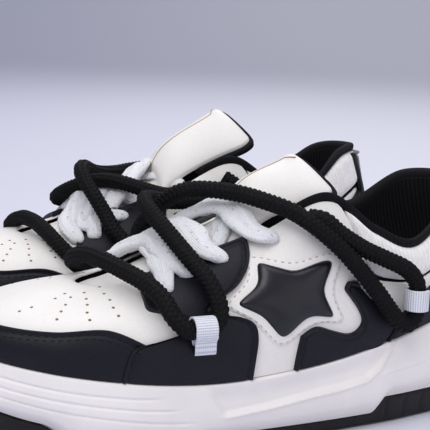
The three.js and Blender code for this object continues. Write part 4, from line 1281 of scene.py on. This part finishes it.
def lace_strand(route, start, end, lift, seed, wide=7.0, thick=2.7):
    """One span of the flat lace: a full, flattened tube that narrows and dips at its two slots."""
    line = relaxed(resample(route(start, end, lift), 120), 26)
    narrow, flat, around = 3.9, 2.2, 60
    s = np.linspace(0, 1, len(line))[:, None]
    along = unit(np.gradient(line, axis=0))
    over = np.array([0, -0.42, 0.9]) * np.sin(np.pi * s) ** 0.5
    out = unit(normal(*start) * (1 - s) ** 2 + over + normal(*end) * s**2)
    across = unit(np.cross(out, along))
    out = np.cross(along, across)
    fullness = step01(s / 0.3) * step01((1 - s) / 0.3)
    closed = np.sqrt(np.clip(1 - np.clip(1 - np.minimum(s, 1 - s) / 0.035, 0, 1) ** 2, 0.002, 1))
    half = (narrow + (wide - narrow) * fullness) * closed
    deep = (flat + (thick - flat) * fullness) * closed
    angle = circle(around)
    v = np.cos(angle)
    ruffle = 0.5 * np.sin(3.1 * v + seed * 2.3 + 9 * s) + 0.35 * np.sin(6.5 * v + seed + 17 * s)
    ruffle = ruffle * (0.3 + 0.7 * fullness) * closed
    edge = 1 + 0.07 * np.sin(31 * s + seed) * fullness
    weave = 0.13 * np.sin(s * 90 + 7 * v) * np.sin(s * 90 - 7 * v) * closed
    points = line[:, None] + across[:, None] * (half * edge * v)[..., None]
    swell = deep * squarer(np.sin(angle), 0.8) + ruffle * (1 - 0.6 * v**2) + weave
    points = points + out[:, None] * swell[..., None]
    shell = Shell()
    uv = np.stack(grids(s[:, 0] * lengths(line)[-1] / 1000, np.linspace(0, 0.026, around + 1)), -1)
    shell.caps(shell.grid(points, np.vstack([uv, uv[-1:]]), wrap=(False, True)))
    return shell


def merge(shells):
    """Several shells as one."""
    whole = Shell()
    for part in shells:
        whole.points += part.points
        whole.faces += [faces + whole.count for faces in part.faces]
        whole.uvs += part.uvs
        whole.count += part.count
    return whole


def flat_lace():
    """The flat lace criss-crossed over the tongue, with one straight bar at the front."""
    far = [(ROUND - t, r) for t, r in SLOTS]
    strands = [lace_strand(over_line, SLOTS[0], far[0], 1.5, 0.0, 6.0)]
    for i, (slot, after) in enumerate(zip(SLOTS, SLOTS[1:])):
        low = ((slot[0], 0.9), (ROUND - after[0], 0.9))
        strands.append(lace_strand(sunk_line, *low, -1.5, 1.0 + i, 5.5, 1.4))
        strands.append(lace_strand(over_line, after, (far[i][0] - 0.35, far[i][1]), 4.2, 4.0 + i))
    return merge(strands)


# ------------------------------------------------------------------ putting the shoes together
def sole_pieces():
    """What the foot stands on."""
    both("sole_rubber", outsole(), RUBBER_BLACK, ["outsole"])
    both("foam_cup", midsole(), FOAM, ["midsole"])
    both("fibre_board", bed_layer(0.6, GAP, BOARD, 0), BOARD_FIBRE, ["lasting_board"])
    sock = bed_layer(2.4, 0.7 + BOARD, INSOLE, 0.06)
    both("sock", sock, LINING_KNIT, ["insole"], body="insole")


def side_pieces(node, medial):
    """The panels, the star and the stitches on one side of the shoe."""
    quarter, side, wing = (mirrored(edges) if medial else edges for edges in (QUARTER, SIDE_PANEL, WING))
    skin_panel = panel(quarter, LEATHER, cut_edge, "B", 2.5, 3)
    both(f"quarter_skin_{node}", skin_panel, WHITE_LEATHER, [f"quarter_{node}"])
    for name, shell, stands_for in (
        ("side_leather", panel(side, OVERLAY, rolled_edge, "AB1", 1.2, 2), "side_panel"),
        ("wing_leather", panel(wing, OVERLAY, rolled_edge, "B01", 1.0, 1.5), "wing"),
    ):
        both(f"{name}_{node}", shell, BLACK_LEATHER, [f"{stands_for}_{node}"])
    both(f"star_pad_{node}", star(medial), STAR_FILM, [f"star_{node}"])
    both(f"star_frame_{node}", star_border(medial), WHITE_LEATHER)
    both(f"star_stitches_{node}", star_dots(medial), THREAD_WHITE)
    rows = [(inset(side, border, STITCH_IN), STITCH_LIFT) for border in "AB"]
    both(f"side_stitches_{node}", stitches(rows), THREAD_BLACK)


def tucked_ends(run, length, distance):
    """Sinks the mudguard's ends under the side panels."""
    return -0.9 * (1 - step01(np.minimum(run, length - run) / 7))


def collar_ribs(run, length, distance):
    """The collar's ribs across its length, fading out at the border."""
    return 0.55 * np.cos(2 * np.pi * run / 2.6) * step01(distance / 3)


def end_pieces():
    """Mudguard, heel and collar, and the holes in the vamp."""
    guard = panel(MUDGUARD, OVERLAY, rolled_edge, "B", 1.5, 2, tucked_ends)
    both("toe_guard", guard, BLACK_LEATHER, ["toe_rand"])
    rows = [(inset(MUDGUARD, "B", STITCH_IN), STITCH_LIFT), (inset(MUDGUARD, "B", 4.9), 1.35)]
    both("toe_stitches", stitches(rows), THREAD_BLACK)
    counter = panel(COUNTER, OVERLAY, rolled_edge, "B01")
    both("heel_leather", counter, BLACK_LEATHER, ["heel_counter"])
    strip = panel(HEEL_STRIP, (1.0, 3.1), rolled_edge)
    both("heel_band", strip, PATENT, ["heel_strip"])
    collar = panel(COLLAR, (-1.9, 1.2), soft_edge, step=0.42, ribs=collar_ribs)
    both("collar_pad", collar, RIB_CLOTH, ["ribbed_collar"])
    both("collar_edge", binding(), KNIT, ["collar_binding"])
    both("hole_rims", hole_rims(), TAN_EDGE)
    both("hole_floors", hole_floors(), HOLE_DARK)


def outfit():
    """Makes every piece of both shoes."""
    sole_pieces()
    both("inner_sleeve", lining(), LINING_KNIT, ["lining"])
    vamp = panel(VAMP, LEATHER, cut_edge, "B", 2.5, 3)
    both("toe_box", vamp, WHITE_LEATHER, ["vamp"])
    side_pieces("outer", False)
    side_pieces("inner", True)
    end_pieces()
    both("tongue_pad", tongue, WHITE_LEATHER, ["tongue_lower", "tongue_top"], body="tongue_bend")
    both("tongue_back", tongue_lining, KNIT, ["tongue_lining"], body="tongue")
    both("tongue_piping", tongue_piping, KNIT, body="tongue")
    both("tongue_raw_edge", tongue_seam, TAN_EDGE, body="tongue_bend")
    both("lace", flat_lace(), COTTON, ["flat_lace"])
    both("rope", rope, ROPE_YARN, ["rope_lace"])
    for node, (centre, axis, sewn) in LOOPS.items():
        both(f"{node}_webbing", webbing_loop(centre, axis, sewn), WEBBING_CLOTH, [node])


# ------------------------------------------------------------------ floor, light and camera
ACROSS, AWAY = np.array([0.382, 0.924, 0]), np.array([-0.924, 0.382, 0])  # as the camera looks
BEND_START, BEND_REACH, BEND_RADIUS = 2.2, 1.1, 1.2  # metres: where the floor curves up behind the shoes


def studio():
    """A pale floor, painted darker to the left as painted shade, that curves up behind the shoes; a pale
    surround and soft light from above and around.
    """
    shader = Shader("floor", roughness=0.8)
    where = shader.place()
    across = shader.axis(where, "X") * ACROSS[0] + shader.axis(where, "Y") * ACROSS[1]
    # painted shade: the floor's colour runs from darker at the left (C9CADD) to brighter at the right
    # (E6E6F1)
    shader.feed(Base_Color=shader.blend(across.above(-1.1, 0.5), "C9CADD", "E6E6F1"))
    away, wide = np.linspace(-5, 4.4, 95), np.linspace(-6, 6, 13)
    rise = np.clip(away - BEND_START, 0, None)
    curved = BEND_RADIUS - np.sqrt(BEND_RADIUS**2 - np.minimum(rise, BEND_REACH) ** 2)
    height = np.where(rise < BEND_REACH, curved, 0.72 + 2.3 * (rise - BEND_REACH))
    points = away[:, None, None] * AWAY + wide[None, :, None] * ACROSS + height[:, None, None] * UP
    sheet = Shell()
    sheet.grid(points * 1000)
    object_of("floor", sheet, shader.material, 1, np.zeros(3))
    world = bpy.data.worlds.new("surround")
    world.use_nodes = True
    surround = world.node_tree.nodes["Background"].inputs
    surround[0].default_value = (*shades("E4E5EF"), 1)
    surround[1].default_value = 0.54
    bpy.context.scene.world = world
    lamp("key", (0.9, -0.9, 1.5), 1.1, 11.5)
    lamp("fill", (1.6, 0.9, 0.7), 1.4, 3)
    lamp("back", (-1.2, 0.5, 1.2), 1.2, 6)
    lamp("top", (0.1, 0.0, 1.8), 1.6, 10.5)
    bpy.context.scene.view_settings.view_transform = "Standard"


def lamp(name, place, size, power):
    """A round area lamp that points at the shoes; place and size in metres, power in watts."""
    light = bpy.data.lights.new(name, "AREA")
    light.energy, light.size, light.shape = power, size, "DISK"
    lit = bpy.data.objects.new(name, light)
    lit.location = place
    lit.rotation_euler = (Vector((0, 0, 0.06)) - Vector(place)).to_track_quat("-Z", "Y").to_euler()
    bpy.context.scene.collection.objects.link(lit)


def camera():
    """A long lens low on the outside of the left shoe, a little ahead of it and rolled slightly."""
    azimuth, elevation, roll = np.radians([67.56, 11.0, 2.06])
    target, distance, focal_mm = np.array([0.059, -0.0064, 0.1014]), 0.6, 102.684
    level_in = np.cos(elevation)
    back = np.array([np.sin(azimuth) * level_in, -np.cos(azimuth) * level_in, np.sin(elevation)])
    right = unit(np.cross(-back, UP))
    up = np.cross(back, right)
    lens = bpy.data.cameras.new("camera")
    lens.lens = focal_mm
    view = bpy.data.objects.new("camera", lens)
    bpy.context.scene.collection.objects.link(view)
    x_axis = right * np.cos(roll) + up * np.sin(roll)
    y_axis = up * np.cos(roll) - right * np.sin(roll)
    turn = Matrix(np.stack([x_axis, y_axis, back], 1).tolist())
    view.matrix_world = Matrix.Translation(Vector(target + back * distance)) @ turn.to_4x4()
    bpy.context.scene.camera = view


outfit()
camera()
studio()
